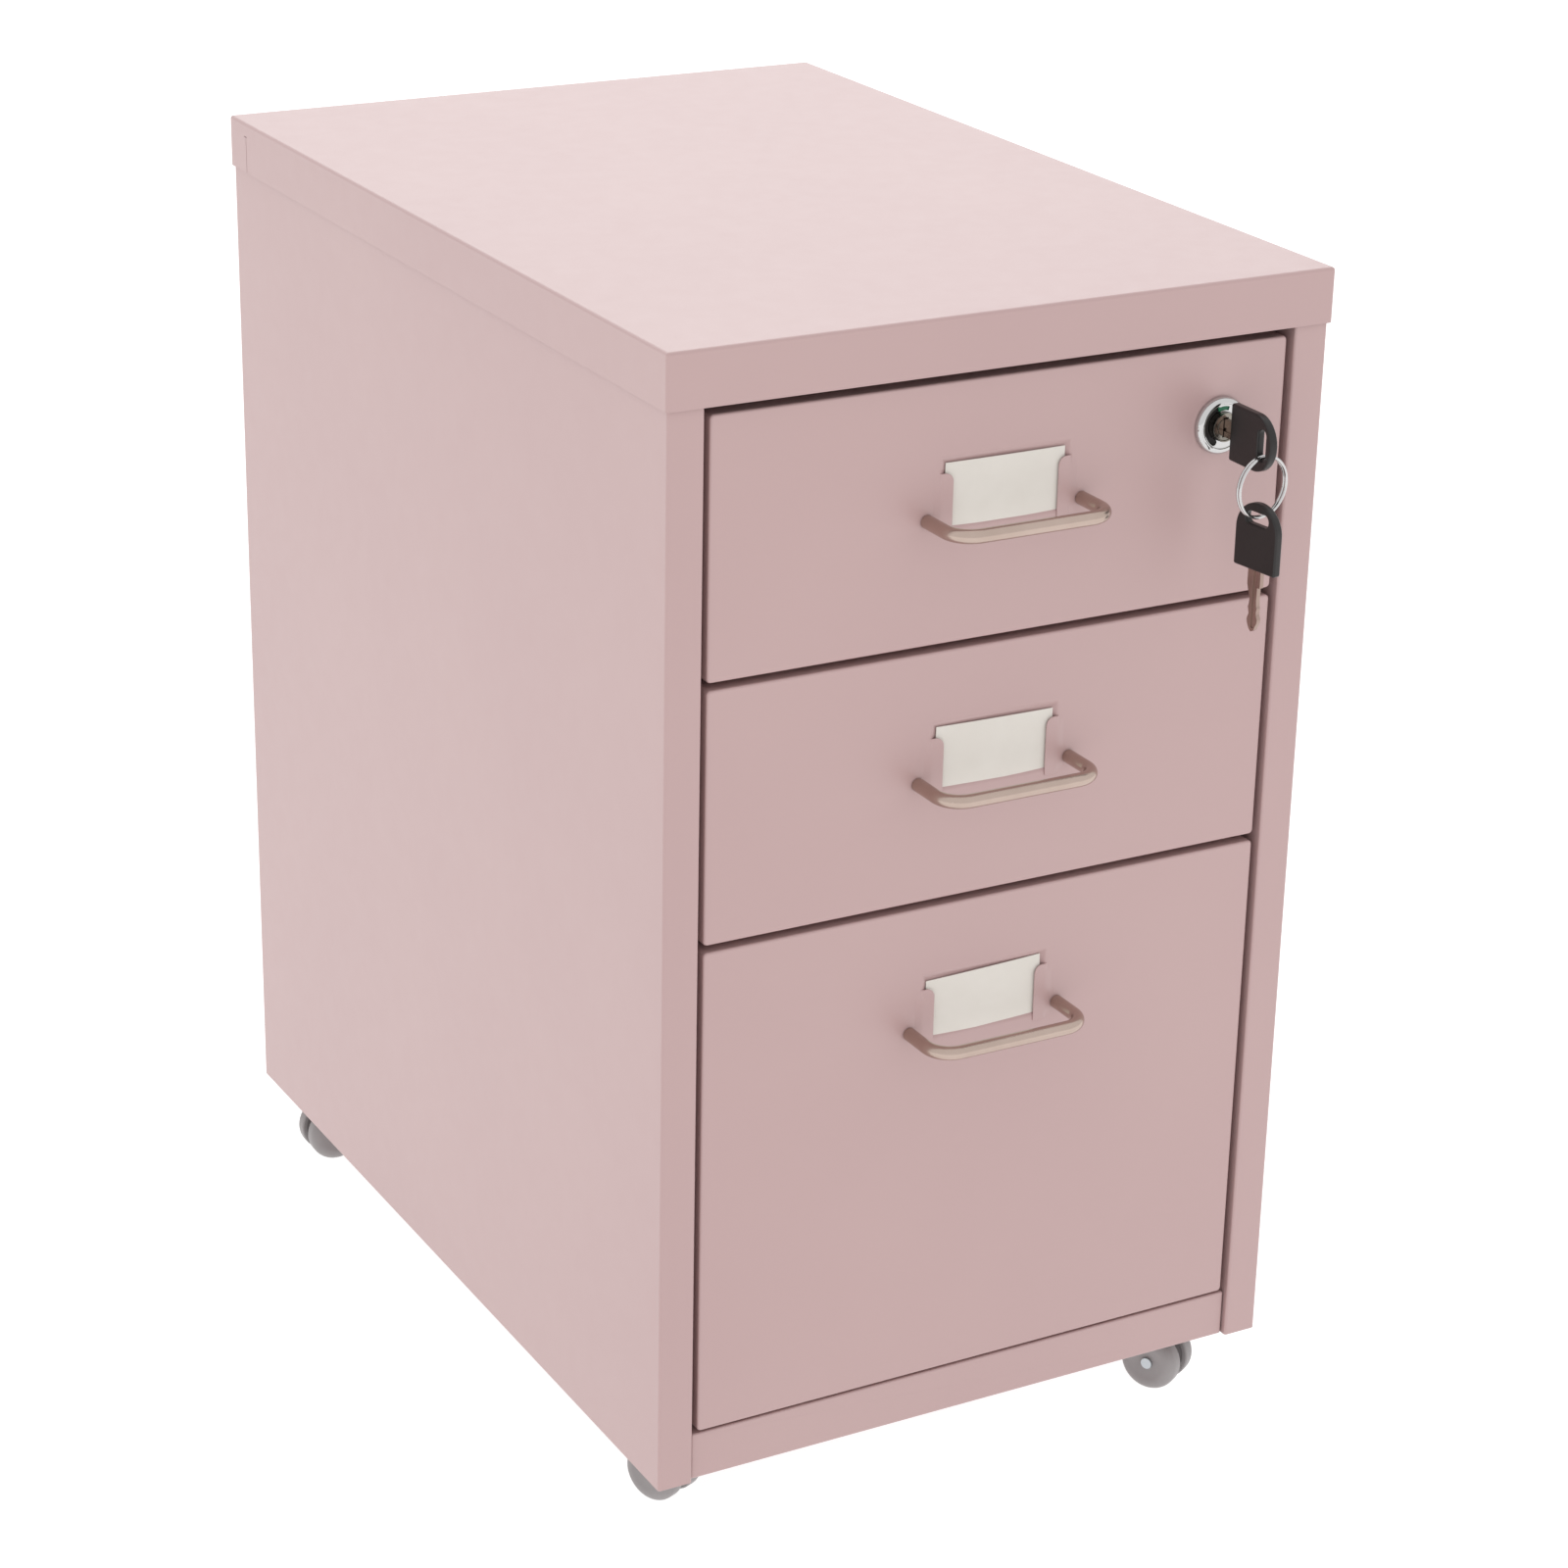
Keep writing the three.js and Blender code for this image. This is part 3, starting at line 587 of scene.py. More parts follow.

# %% [markdown]
# The hidden sheet pieces keep the frame's own shape. A copy of each is merged into one shell and its
# edges are eased, because even a sheared edge shows a thin line of light.

# %% Hidden panels and runners
# The bottom panel, the upper front rail and the drawer boxes take the darker pink, which is painted shade.
eased = {
    "back_panel": ("carcass", "paint", paint, 0.2),
    "bottom_panel": ("carcass", "paint", shaded_inner_paint, 0.15),
    "upper_front_rail": ("carcass", "paint", shaded_inner_paint, 0.15),
}
for number in (1, 2, 3):
    for side in ("left", "right"):
        eased[f"runner_{number}_{side}"] = ("carcass", "zinc", zinc, 0.15)
    eased[f"drawer_{number}_box"] = (f"drawer_{number}", "paint", shaded_inner_paint, 0.15)
for node, (body, slot, finish, width) in eased.items():
    piece = ease_edges(merged_copy(node), width * MM, 1, 50)
    dress(piece, body, finish, [node])
print("eased:", len(eased), "pieces")

# %% [markdown]
# ## Drawer fronts
#
# A front is a pan with its folds to the rear. Behind each handle the press sinks a shallow pocket for
# the label card, with a soft slope at its top, and lifts one tab at each side to hold the card.

# %% Press the front
HALF_CARD = 25.4 * MM
POCKET_DEPTH = 1.5 * MM
POCKET_SLOPE = 2.2 * MM
PRESS_BACK = 0.3 * MM       # the face lies this far behind the lifted tabs' foremost plane
FRONT_BEND, FRONT_CORNER = 1.0 * MM, 1.7 * MM


def pressed_front(number):
    node = f"drawer_{number}_front"
    low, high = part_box(node)
    card_low, card_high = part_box(f"drawer_{number}_card")
    face_y = low.y + PRESS_BACK
    front = pan(node + "_pressing", (low.x, face_y, low.z), high, (0, 1, 0), FRONT_BEND, FRONT_CORNER)
    left, right = -HALF_CARD - POCKET_SLOPE, HALF_CARD + POCKET_SLOPE
    bottom, top = card_low.z - 0.6 * MM, card_high.z + POCKET_SLOPE + 0.3 * MM
    with editing(front):
        for x in (left, right):
            bisect_at((x, 0, 0), (1, 0, 0))
        for z in (bottom, top):
            bisect_at((0, 0, z), (0, 0, 1))
        pick_faces(lambda m, n: near(m.y, face_y) and left < m.x < right and bottom < m.z < top)
        bpy.ops.mesh.inset(thickness=POCKET_SLOPE, depth=-POCKET_DEPTH)
        rim = (left - MM, right + MM, bottom - MM, top + MM)
        inside = lambda p: rim[0] < p.x < rim[1] and rim[2] < p.z < rim[3] and p.y < face_y + 3 * MM
        bpy.ops.mesh.select_mode(type="EDGE")
        pick_edges(lambda a, b: inside(a) and inside(b) and not (
            near(a.x, b.x, 4 * MM) and near(a.z, b.z, 4 * MM)))
        bpy.ops.mesh.bevel(offset=0.7 * MM, segments=3, affect="EDGES")
    return thicken(front, SHEET)


for number in (1, 2, 3):
    front = pressed_front(number)
    dress(front, f"drawer_{number}", paint, [f"drawer_{number}_front"], 40)
    print(front.name, len(front.data.polygons), "faces")

# %% Card tabs
TAB_INNER, TAB_CREASE, TAB_FOOT = 22.5 * MM, 27.0 * MM, 31.2 * MM
TAB_LIFT = 0.6 * MM
TAB_SINK = 0.03 * MM
TAB_CORNER, TAB_THICK = 3.4 * MM, 0.65 * MM
TAB_COLUMNS, TAB_ROWS, TAB_ROW = 15, 6, 0.7 * MM


def soft_step(share):
    share = min(1, max(0, share))
    return share * share * (3 - 2 * share)


def card_tab(number, sign):
    low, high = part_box(f"drawer_{number}_front")
    face_y = low.y + PRESS_BACK
    card_low, card_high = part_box(f"drawer_{number}_card")
    top = card_high.z - 3.6 * MM
    bottom = card_low.z - 2.4 * MM
    clear_selection()
    middle = (sign * (TAB_INNER + TAB_FOOT) / 2, face_y, (top + bottom) / 2)
    bpy.ops.mesh.primitive_plane_add(size=1, location=middle, rotation=(math.pi / 2, 0, 0))
    bpy.context.object.scale = (TAB_FOOT - TAB_INNER, top - bottom, 1)
    tab = settle(bpy.context.object, f"drawer_{number}_tab_{'left' if sign < 0 else 'right'}")
    with editing(tab, "VERT"):
        mesh = bmesh.from_edit_mesh(tab.data)
        for vertex in mesh.verts:
            vertex.select_set(near(vertex.co.x, sign * TAB_INNER) and near(vertex.co.z, top))
        bmesh.update_edit_mesh(tab.data)
        bpy.ops.mesh.bevel(offset=TAB_CORNER, segments=8, affect="VERTICES")
        for step in range(TAB_COLUMNS):
            x = TAB_CREASE + (TAB_FOOT - TAB_CREASE) * step / TAB_COLUMNS
            bisect_at((sign * x, 0, 0), (1, 0, 0))
        for step in range(1, TAB_ROWS + 1):
            bisect_at((0, 0, top - TAB_ROW * step), (0, 0, 1))
            bisect_at((0, 0, bottom + TAB_ROW * step), (0, 0, 1))
        mesh = bmesh.from_edit_mesh(tab.data)
        for vertex in mesh.verts:
            out = (abs(vertex.co.x) - TAB_CREASE) / (TAB_FOOT - TAB_CREASE)
            ends = min(top - vertex.co.z, vertex.co.z - bottom) / (TAB_ROWS * TAB_ROW)
            fade = 1 - soft_step(out * 3) * (1 - soft_step(ends))
            vertex.co.y -= TAB_LIFT * (1 - soft_step(out)) * fade - TAB_SINK
        bmesh.update_edit_mesh(tab.data)
    outward(tab, (0, -1, 0))
    thicken(tab, TAB_THICK)
    ease_edges(tab, 0.12 * MM, 2, 60)
    return dress(tab, f"drawer_{number}", paint, smooth=50)


for number in (1, 2, 3):
    for sign in (-1, 1):
        card_tab(number, sign)
print("card tabs: 6")

# %% [markdown]
# A card that has been pushed into its pocket by hand bows a little, and the lowest one sits askew.

# %% Label cards
BOW = 0.35 * MM
LEAN = {1: 0.0, 2: -0.8, 3: 1.6}


def label_card(number):
    low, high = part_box(f"drawer_{number}_card")
    card = add_block(f"drawer_{number}_label", low, high)
    half = (high.x - low.x) / 2
    with editing(card, "EDGE"):
        for step in range(1, 8):
            bisect_at((low.x + step * half / 4, 0, 0), (1, 0, 0))
        for step in range(0, 9):
            x = low.x + step * half / 4
            share = 1 - (x / half) ** 2
            if share > 0.01:
                pick_edges(lambda a, b: near(a.x, x) and near(b.x, x))
                bpy.ops.transform.translate(value=(0, -BOW * share, 0))
        bpy.ops.mesh.select_all(action="SELECT")
        bpy.ops.transform.rotate(
            value=math.radians(LEAN[number]), orient_axis="Y", center_override=(low + high) / 2)
    return dress(card, f"drawer_{number}", card_stock, [f"drawer_{number}_card"])


for number in (1, 2, 3):
    label_card(number)
print("label cards: 3")

# %% [markdown]
# ## Wire handles
#
# A handle is one length of round wire with two bends. It is made the same way: a disc the size of the
# wire is extruded along the leg, spun round the bend, extruded along the bar, and so on to the far end.

# %% Bend a handle
WIRE = 2.7 * MM
BEND_RADIUS = 9.5 * MM


def wire_handle(number):
    low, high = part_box(f"drawer_{number}_handle")
    height = (low.z + high.z) / 2
    leg = high.x - WIRE
    bar = low.y + WIRE
    root = high.y
    clear_selection()
    bpy.ops.mesh.primitive_circle_add(
        vertices=28, radius=WIRE, fill_type="NGON",
        location=(-leg, root, height), rotation=(math.pi / 2, 0, 0))
    handle = settle(bpy.context.object, f"drawer_{number}_handle_wire")
    straight = root - bar - BEND_RADIUS
    turn_x, turn_y = leg - BEND_RADIUS, bar + BEND_RADIUS
    bend = {"steps": 12, "angle": -math.pi / 2, "axis": (0, 0, 1)}
    with editing(handle):
        bpy.ops.mesh.select_all(action="SELECT")
        bpy.ops.mesh.extrude_region_move(TRANSFORM_OT_translate={"value": (0, -straight, 0)})
        bpy.ops.mesh.spin(center=(-turn_x, turn_y, height), **bend)
        bpy.ops.mesh.extrude_region_move(TRANSFORM_OT_translate={"value": (2 * turn_x, 0, 0)})
        bpy.ops.mesh.spin(center=(turn_x, turn_y, height), **bend)
        bpy.ops.mesh.extrude_region_move(TRANSFORM_OT_translate={"value": (0, straight, 0)})
        bpy.ops.mesh.select_all(action="SELECT")
        bpy.ops.mesh.remove_doubles(threshold=1e-6)
        bpy.ops.mesh.normals_make_consistent(inside=False)
    return dress(handle, f"drawer_{number}", satin_nickel, [f"drawer_{number}_handle"])


for number in (1, 2, 3):
    handle = wire_handle(number)
    size = [round(d / MM, 1) for d in handle.dimensions]
    print(handle.name, size, "mm")

# %% [markdown]
# ## The lock
#
# A cam lock shows its chromed bezel, a domed ring pressed over the barrel. In its face are a black
# crescent opening, a small green window above the core, and the core itself with the key in it.

# %% Bezel
low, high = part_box("lock_housing")
LOCK = Vector(((low.x + high.x) / 2, low.y, (low.z + high.z) / 2))
RIM = (high.x - low.x) / 2
BEZEL = 3.4 * MM


def arc_block(name, inner, outer, start, end, front, back, steps=20):
    """A piece of a flat ring about the lock axis; angles in degrees from +X towards +Z."""
    first = math.radians(start)
    clear_selection()
    middle = (inner + outer) / 2
    bpy.ops.mesh.primitive_plane_add(size=1, location=(middle, (front + back) / 2, 0))
    bpy.context.object.scale = (outer - inner, back - front, 1)
    piece = settle(bpy.context.object, name)
    with editing(piece):
        bpy.ops.mesh.select_all(action="SELECT")
        bpy.ops.transform.rotate(value=first, orient_axis="Y", center_override=(0, 0, 0))
        bpy.ops.mesh.spin(
            steps=steps, angle=math.radians(end - start), center=(0, 0, 0), axis=(0, 1, 0))
        bpy.ops.mesh.select_all(action="SELECT")
        bpy.ops.mesh.remove_doubles(threshold=1e-6)
        bpy.ops.mesh.normals_make_consistent(inside=False)
    piece.location = (LOCK.x, 0, LOCK.z)
    return settle(piece)


SEAT = LOCK.y + BEZEL
FRONT = SEAT - 2.9 * MM
BORE, BARREL = 5.75 * MM, 9.3 * MM
CRESCENT_RADIUS, CRESCENT_ENDS, CRESCENT_DEPTH = 8.3 * MM, (112, 236), 2.2 * MM
WINDOW_RADII, WINDOW_ENDS, WINDOW_DEPTH = (6.2 * MM, 7.8 * MM), (72, 106), 1.3 * MM

DOME, LIP_WIDTH, LIP_SINK = 2.3 * MM, 0.25 * MM, 0.35 * MM

bezel = add_round_bar("lock_bezel", (LOCK.x, (SEAT + FRONT) / 2, LOCK.z), RIM, SEAT - FRONT, "Y", 96)
with editing(bezel, "EDGE"):
    pick_edges(lambda a, b: near(a.y, FRONT) and near(b.y, FRONT))
    bpy.ops.mesh.bevel(offset=DOME, segments=10, affect="EDGES")
    bpy.ops.mesh.select_mode(type="FACE")
    pick_faces(lambda middle, normal: normal.y < -0.999)
    bpy.ops.mesh.inset(thickness=LIP_WIDTH)
    bpy.ops.transform.translate(value=(0, LIP_SINK, 0))
    bpy.ops.mesh.inset(thickness=0.5 * MM)
    bpy.ops.transform.translate(value=(0, 0.15 * MM, 0))
carve(bezel, add_round_bar("bore_cutter", (LOCK.x, SEAT, LOCK.z), BORE, 12 * MM, "Y", 96))
carve(bezel, arc_block(
    "crescent_cutter", BORE - 0.4 * MM, CRESCENT_RADIUS, *CRESCENT_ENDS,
    FRONT - MM, FRONT + CRESCENT_DEPTH))
for angle in CRESCENT_ENDS:
    end = math.radians(angle)
    middle = (BORE + CRESCENT_RADIUS) / 2
    spot = (LOCK.x + middle * math.cos(end), FRONT + 0.6 * MM, LOCK.z + middle * math.sin(end))
    carve(bezel, add_round_bar(
        "crescent_end_cutter", spot, (CRESCENT_RADIUS - BORE) / 2, 3.2 * MM, "Y", 32))
carve(bezel, arc_block(
    "window_cutter", *WINDOW_RADII, *WINDOW_ENDS, FRONT - MM, FRONT + WINDOW_DEPTH, 10))
ease_edges(bezel, 0.12 * MM, 2, 50)
with editing(bezel, "VERT"):
    bpy.ops.mesh.select_all(action="SELECT")
    bpy.ops.mesh.dissolve_degenerate(threshold=1e-6)
dress(bezel, "drawer_1", chrome, smooth=35)
crescent = arc_block(
    "lock_crescent", BORE + 0.05 * MM, CRESCENT_RADIUS + 0.6 * MM,
    CRESCENT_ENDS[0] - 12, CRESCENT_ENDS[1] + 12,
    FRONT + CRESCENT_DEPTH - 0.2 * MM, FRONT + CRESCENT_DEPTH + 0.4 * MM)
dress(crescent, "drawer_1", black_plastic)
window = arc_block(
    "lock_window", WINDOW_RADII[0] - 0.1 * MM, WINDOW_RADII[1] + 0.1 * MM,
    WINDOW_ENDS[0] - 2, WINDOW_ENDS[1] + 2,
    FRONT + WINDOW_DEPTH - 0.3 * MM, FRONT + WINDOW_DEPTH + 0.3 * MM, 10)
dress(window, "drawer_1", green_plastic)
print("bezel:", len(bezel.data.polygons), "faces")

# %% Barrel
low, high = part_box("lock_housing")
barrel = add_round_bar(
    "lock_barrel", (LOCK.x, (SEAT + high.y) / 2, LOCK.z), BARREL, high.y - SEAT, "Y", 64)
carve(barrel, add_round_bar(
    "bore_cutter", (LOCK.x, (SEAT + high.y) / 2, LOCK.z), BORE, 40 * MM, "Y", 64))
ease_edges(barrel, 0.3 * MM)
dress(barrel, "drawer_1", zinc, ["lock_housing"])

# %% [markdown]
# The core is a rod with a keyway, a turned groove in its face and a square tail for the cam. Both ends
# come from one bar each, joined with a boolean, so the finished core is a single closed shell.

# %% Core
low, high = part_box("lock_plug")
core_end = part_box("lock_housing")[1].y
core = add_round_bar(
    "lock_core_rod", (LOCK.x, (low.y + core_end) / 2, LOCK.z), 5.6 * MM, core_end - low.y, "Y", 64)
with editing(core):
    pick_faces(lambda middle, normal: normal.y < -0.9)
    bpy.ops.mesh.inset(thickness=0.5 * MM)
    bpy.ops.transform.translate(value=(0, -0.01 * MM, 0))
    bpy.ops.mesh.inset(thickness=0.15 * MM)
    bpy.ops.transform.translate(value=(0, 0.5 * MM, 0))
    bpy.ops.mesh.inset(thickness=1.5 * MM)
    bpy.ops.mesh.inset(thickness=0.1 * MM)
    bpy.ops.transform.translate(value=(0, -0.35 * MM, 0))
HALF_TAIL = 2.5 * MM
tail = add_block(
    "core_tail", (LOCK.x - HALF_TAIL, core_end - MM, LOCK.z - HALF_TAIL),
    (LOCK.x + HALF_TAIL, high.y, LOCK.z + HALF_TAIL))
apply_modifier(core, "BOOLEAN", operation="UNION", solver="EXACT", object=tail)
bpy.data.objects.remove(tail)
carve(core, add_block(
    "keyway_cutter", (LOCK.x - 1.2 * MM, low.y - MM, LOCK.z - 3.8 * MM),
    (LOCK.x + 1.2 * MM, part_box("key_1_blade")[1].y + 0.2 * MM, LOCK.z + 3.8 * MM)))
ease_edges(core, 0.12 * MM, 2, 50)
dress(core, "lock_core", core_metal, ["lock_plug"])
print("core:", len(core.data.polygons), "faces")

# %% [markdown]
# ## Keys and ring
#
# The key head is a black plastic moulding with one round end. It is cut from a block: two corners are
# bevelled until they meet in a half circle, a slot goes through, and every edge is softened. One key is
# modelled lying along -Y from the head's base, and the hanging one is a turned copy.

# %% One key head
low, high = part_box("key_1_head")
HEAD = Vector((high.x - low.x, high.y - low.y, high.z - low.z))
KEY_BASE = Vector(((low.x + high.x) / 2, high.y, (low.z + high.z) / 2))
HOLE_INSET, HOLE_HALF_LENGTH, HOLE_HALF_WIDTH = 6 * MM, 6 * MM, 2.4 * MM
BLADE_THICK = 1.9 * MM


def key_head(name):
    half = HEAD.z / 2
    head = add_block(name, (-HEAD.x / 2, -HEAD.y, -half), (HEAD.x / 2, 0, half))
    with editing(head, "EDGE"):
        pick_edges(lambda a, b: near(a.y, -HEAD.y) and near(b.y, -HEAD.y) and near(a.z, b.z))
        bpy.ops.mesh.bevel(offset=half * 0.995, segments=20, affect="EDGES")
        pick_edges(lambda a, b: near(a.y, 0) and near(b.y, 0) and near(a.z, b.z))
        bpy.ops.mesh.bevel(offset=0.9 * MM, segments=4, affect="EDGES")
    hole_y = HOLE_INSET - HEAD.y
    slot = add_block(
        "slot_cutter", (-5 * MM, hole_y - HOLE_HALF_WIDTH, -HOLE_HALF_LENGTH),
        (5 * MM, hole_y + HOLE_HALF_WIDTH, HOLE_HALF_LENGTH))
    with editing(slot, "EDGE"):
        pick_edges(lambda a, b: near(a.y, b.y) and near(a.z, b.z))
        bpy.ops.mesh.bevel(offset=HOLE_HALF_WIDTH * 0.95, segments=8, affect="EDGES")
    carve(head, slot)
    ease_edges(head, 0.8 * MM, 4, 35)
    return carve(head, add_block(
        "blade_slot_cutter", (-BLADE_THICK / 2, -6.2 * MM, -3.6 * MM), (BLADE_THICK / 2, MM, 3.6 * MM)))


to_first = Matrix.Translation(KEY_BASE)
first_head = key_head("key_1_grip")
second_head = copy_piece(first_head, "key_2_grip")
first_head.matrix_world = to_first
settle(first_head)
dress(first_head, "key_1", black_plastic, ["key_1_head"], 35)

# %% Hang the second key
ring_joint = next(j for j in frame["joints"] if j["name"] == "ring_turn")
ring_axis = Vector(ring_joint["axis"]).normalized()
yaw = math.atan2(-ring_axis.x, ring_axis.y)
low2, high2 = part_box("key_2_head")
second_base = Vector(((low2.x + high2.x) / 2, (low2.y + high2.y) / 2, low2.z))
hanging = Matrix.Rotation(yaw, 4, "Z") @ Matrix.Rotation(-math.pi / 2, 4, "X")
to_second = Matrix.Translation(second_base) @ hanging
second_head.matrix_world = to_second
settle(second_head)
dress(second_head, "key_2", black_plastic, ["key_2_head"], 35)
print("key heads:", len(first_head.data.polygons), "faces each")

# %% [markdown]
# The blade is milled on both sides. Its outline is walked from the head to the tip: the end edge of a
# flat strip is extruded station by station and widened or narrowed, then the strip gets its thickness.

# %% Blades
# each station: how far from the head's base, and half the width towards -Z and +Z, in mm
STATIONS = (
    (0, 3.4, 3.4), (6.3, 3.4, 3.4), (6.5, 2.1, 3.2), (9, 2.1, 2.5), (11.4, 2.0, 1.7),
    (13.6, 2.2, 1.9), (14.6, 2.6, 2.3), (15.8, 2.3, 2.0), (17.2, 2.4, 1.7), (18.8, 3.1, 2.3),
    (20, 3.0, 2.5), (21.6, 2.2, 2.0), (23.1, 1.6, 1.2), (24, 0.25, 0.25),
)
BLADE_ROOT = 6 * MM
GROOVE_FLOOR, GROOVE_OFFSET, HALF_GROOVE, GROOVE_END = 0.5 * MM, 0.5 * MM, 0.7 * MM, 22.4 * MM


def key_blade(name):
    """Lies along +Y from the head's base at y = 0, flat in Y and Z."""
    width = STATIONS[0][1] * MM
    clear_selection()
    bpy.ops.mesh.primitive_plane_add(
        size=1, location=(0, -BLADE_ROOT / 2, 0), rotation=(0, math.pi / 2, 0))
    bpy.context.object.scale = (2 * width, BLADE_ROOT, 1)
    blade = settle(bpy.context.object, name)
    with editing(blade, "VERT"):
        for before, station in zip(STATIONS, STATIONS[1:]):
            start, end = before[0] * MM, station[0] * MM
            pick_edges(lambda a, b: near(a.y, start, 1e-6) and near(b.y, start, 1e-6))
            extrude_edges((0, end - start, 0))
            for side, which in ((-1, 1), (1, 2)):
                pick_corners(lambda p: near(p.y, end, 1e-6) and p.z * side > 0)
                widening = side * (station[which] - before[which]) * MM
                bpy.ops.transform.translate(value=(0, 0, widening))
    outward(blade, (1, 0, 0))
    apply_modifier(blade, "SOLIDIFY", thickness=BLADE_THICK, offset=0)
    for side in (-1, 1):
        near_face, far_face = sorted((side * GROOVE_FLOOR, side * 3 * MM))
        middle = side * GROOVE_OFFSET
        carve(blade, add_block(
            "groove_cutter", (near_face, -2 * MM, middle - HALF_GROOVE),
            (far_face, GROOVE_END, middle + HALF_GROOVE)))
    return ease_edges(blade, 0.1 * MM, 2, 35)


first_blade = key_blade("key_1_blade_cut")
second_blade = copy_piece(first_blade, "key_2_blade_cut", to_second)
first_blade.matrix_world = to_first
settle(first_blade)
dress(first_blade, "key_1", key_metal, ["key_1_blade"])
dress(second_blade, "key_2", key_metal, ["key_2_blade"])
print("blades:", len(first_blade.data.polygons), "faces each")

# %% [markdown]
# A split ring is a hard wire wound twice round, so it is drawn as a curve that winds twice and steps
# sideways by one wire as it goes.

# %% Split ring
low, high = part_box("key_ring")
ring_centre = (low + high) / 2
WIRE_RING = 0.6 * MM
TURNS = 1.94
STEPS = 120
ring_radius = (high.z - low.z) / 2 - WIRE_RING
path = bpy.data.curves.new("split_ring", "CURVE")
path.dimensions = "3D"
path.bevel_depth = WIRE_RING
path.bevel_resolution = 4
path.use_fill_caps = True
line = path.splines.new("POLY")
line.points.add(STEPS - 1)
for step in range(STEPS):
    share = step / (STEPS - 1)
    angle = math.radians(-60) + share * TURNS * 2 * math.pi
    across = (2 * soft_step((share - 0.44) / 0.12) - 1) * WIRE_RING * 1.03
    line.points[step].co = (
        ring_radius * math.cos(angle), across, ring_radius * math.sin(angle), 1)
winding = bpy.data.objects.new("split_ring", path)
bpy.context.scene.collection.objects.link(winding)
winding.matrix_world = Matrix.Translation(ring_centre) @ Matrix.Rotation(yaw, 4, "Z")
make_active(winding)
bpy.ops.object.convert(target="MESH")
ring = settle(bpy.context.object, "split_ring")
with editing(ring, "VERT"):
    bpy.ops.mesh.select_all(action="SELECT")
    bpy.ops.mesh.remove_doubles(threshold=1e-6)
    bpy.ops.mesh.normals_make_consistent(inside=False)
dress(ring, "ring", chrome, ["key_ring"], 60)
print("ring:", [round(d / MM, 1) for d in ring.dimensions], "mm")

# %% [markdown]
# ## Castors
#
# Each castor has two domed plastic wheels on one axle. One wheel is turned from a cylinder, and each
# copy goes to where its wheel joint is, with a small metal cap in its hub.

# %% Wheels
joints = {joint["name"]: joint for joint in frame["joints"]}
wheel_low, wheel_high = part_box("castor_rear_left_wheel_a")
WHEEL_RADIUS = (wheel_high.z - wheel_low.z) / 2
WHEEL_WIDTH = wheel_high.y - wheel_low.y
INNER_FACE = (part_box("castor_rear_left_wheel_b")[0].y - wheel_high.y) / 2
DISC, HUB, HUB_SINK = 5.5 * MM, 3.5 * MM, 1.4 * MM
TYRE, GROOVE_WALL, GROOVE, GROOVE_SINK = 2.2 * MM, 0.8 * MM, 6.0 * MM, 1.2 * MM
SHOULDER, INNER_SHOULDER = 4 * MM, 0.8 * MM
CAP_RADIUS, CAP_LENGTH, CAP_SINK = 2.5 * MM, 1.2 * MM, 0.9 * MM


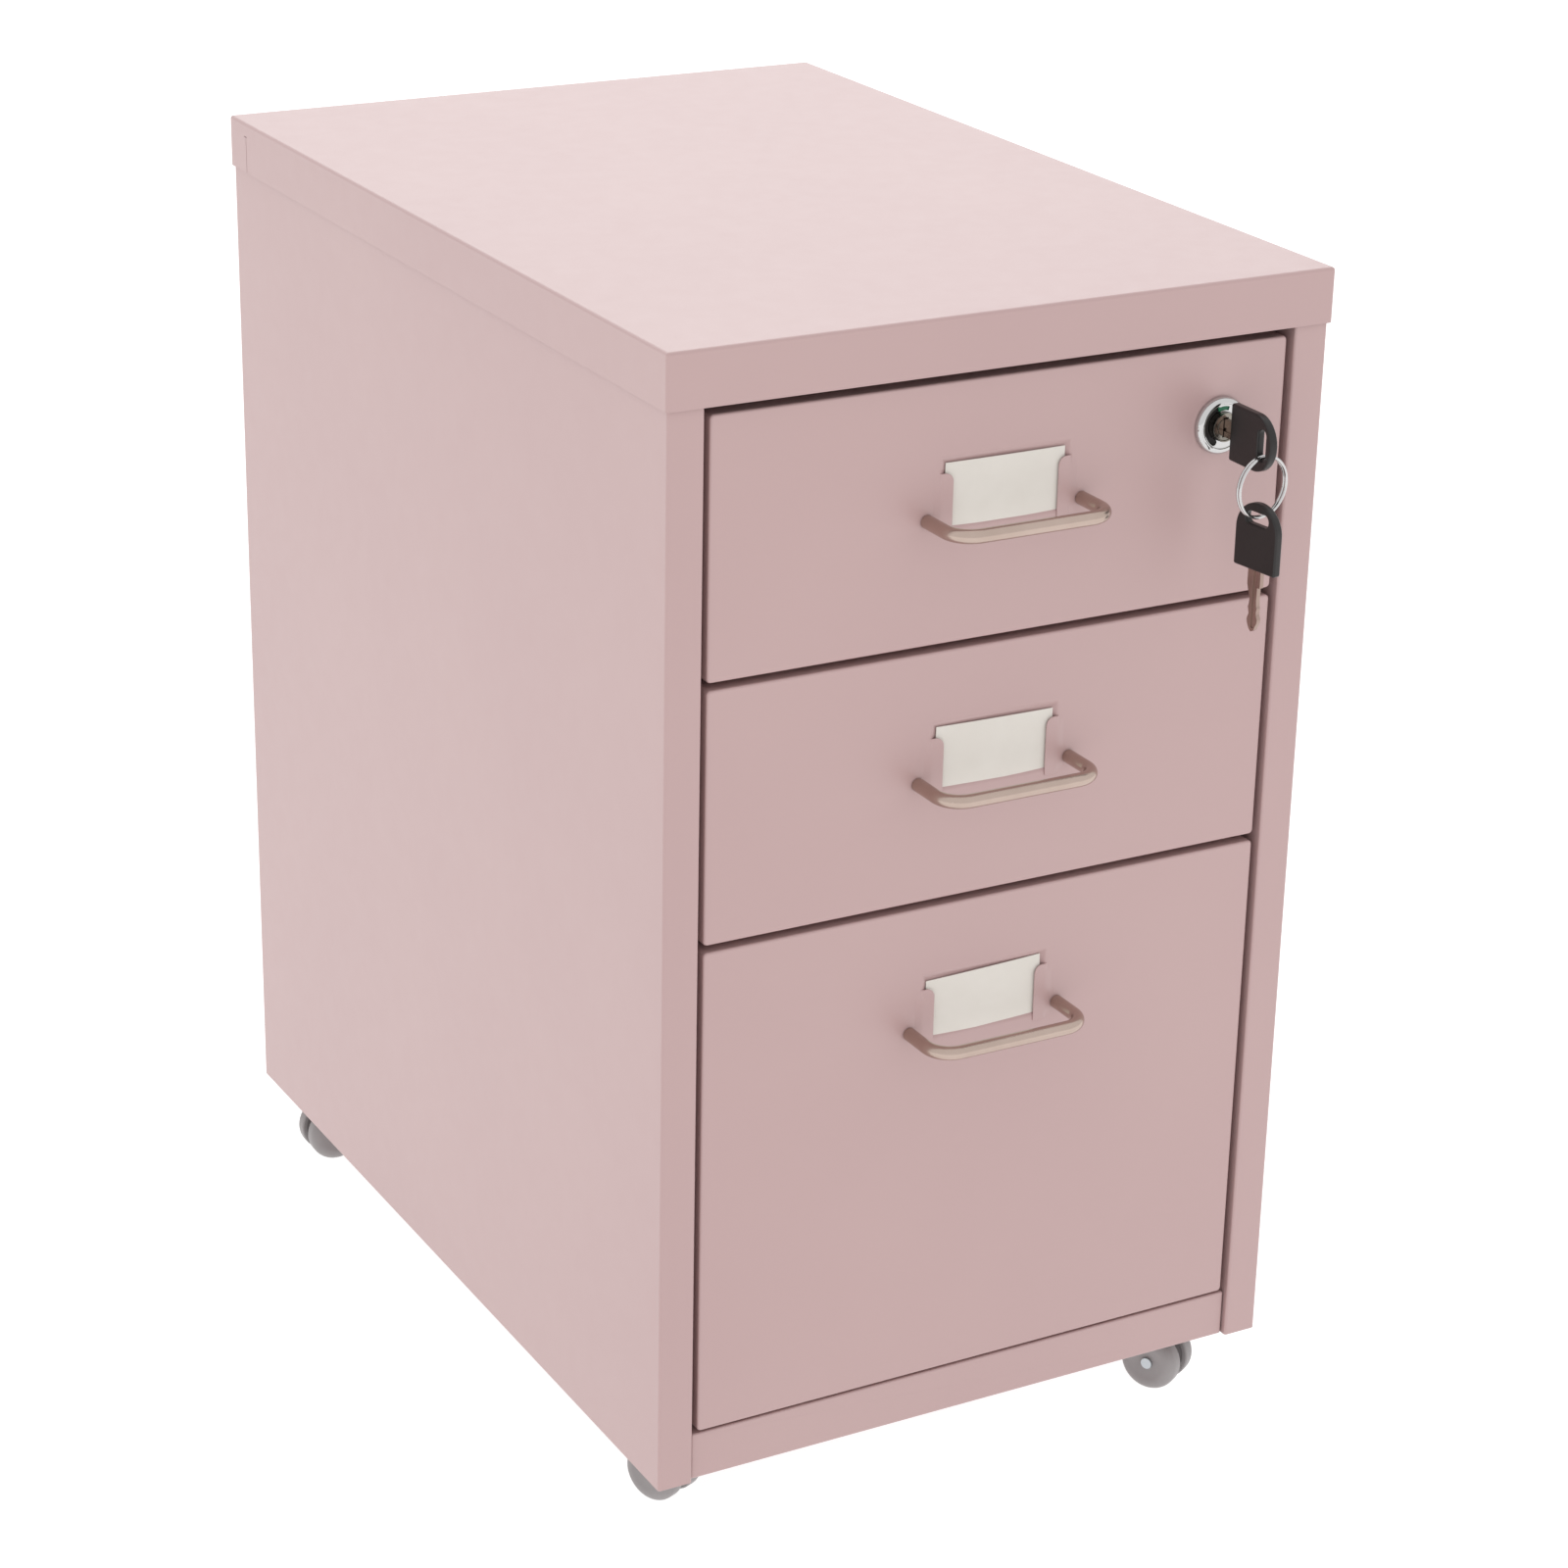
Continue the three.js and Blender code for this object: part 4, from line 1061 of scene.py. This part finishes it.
def castor_wheel(name):
    """Axle along +Y, flat face towards the middle of the castor."""
    wheel = add_round_bar(
        name, (0, INNER_FACE + WHEEL_WIDTH / 2, 0), WHEEL_RADIUS, WHEEL_WIDTH, "Y", 64)
    outer = INNER_FACE + WHEEL_WIDTH
    with editing(wheel):
        pick_faces(lambda middle, normal: normal.y > 0.9)
        bpy.ops.mesh.inset(thickness=DISC)
        bpy.ops.mesh.inset(thickness=HUB)
        bpy.ops.transform.translate(value=(0, -HUB_SINK, 0))
        pick_faces(lambda middle, normal: normal.y < -0.9)
        bpy.ops.mesh.inset(thickness=TYRE)
        bpy.ops.mesh.inset(thickness=GROOVE_WALL)
        bpy.ops.transform.translate(value=(0, GROOVE_SINK, 0))
        bpy.ops.mesh.inset(thickness=GROOVE)
        bpy.ops.mesh.inset(thickness=0.3 * MM)
        bpy.ops.transform.translate(value=(0, -GROOVE_SINK, 0))
        bpy.ops.mesh.select_mode(type="EDGE")
        rim = lambda p, y: near(p.y, y) and math.hypot(p.x, p.z) > WHEEL_RADIUS - 0.01 * MM
        pick_edges(lambda a, b: rim(a, outer) and rim(b, outer))
        bpy.ops.mesh.bevel(offset=SHOULDER, segments=8, affect="EDGES")
        pick_edges(lambda a, b: rim(a, INNER_FACE) and rim(b, INNER_FACE))
        bpy.ops.mesh.bevel(offset=INNER_SHOULDER, segments=3, affect="EDGES")
    return ease_edges(wheel, 0.2 * MM, 2, 50)


pattern = castor_wheel("castor_wheel_pattern")
for corner in ("front_left", "front_right", "rear_left", "rear_right"):
    for letter, half_turn in (("a", 0), ("b", math.pi)):
        joint = joints[f"wheel_{corner}_{letter}_roll"]
        axis = Vector(joint["axis"])
        heading = math.atan2(-axis.x, axis.y) + half_turn
        place = Matrix.Translation(Vector(joint["pos_m"])) @ Matrix.Rotation(heading, 4, "Z")
        wheel = copy_piece(pattern, f"{corner}_wheel_{letter}", place)
        node = f"castor_{corner}_wheel_{letter}"
        dress(wheel, joint["child"], wheel_plastic, [node], 35)
        cap_middle = (0, INNER_FACE + WHEEL_WIDTH - CAP_SINK, 0)
        cap = add_round_bar(
            f"{corner}_axle_cap_{letter}", cap_middle, CAP_RADIUS, CAP_LENGTH, "Y", 24)
        ease_edges(cap, 0.3 * MM, 2, 50)
        cap.matrix_world = place
        dress(settle(cap), joint["child"], zinc, smooth=35)
bpy.data.objects.remove(pattern)
print("wheels: 8, each with its axle cap")

# %% Castor metal, screws, lock nut and cam
for corner in ("front_left", "front_right", "rear_left", "rear_right"):
    for part, body in (("bracket", f"castor_{corner}"), ("stem", "carcass")):
        node = f"castor_{corner}_{part}"
        dress(ease_edges(merged_copy(node), 0.3 * MM, 2, 40), body, zinc, [node])

plain_finish = {"axle": zinc, "screw_left": zinc, "screw_right": zinc, "nut": zinc, "cam": zinc}
for node, cad in frame["nodes"].items():
    for ending, finish in plain_finish.items():
        if node.endswith(ending):
            cad.data.materials.clear()
            cad.data.materials.append(finish)
print("castor metal: 8 pieces")
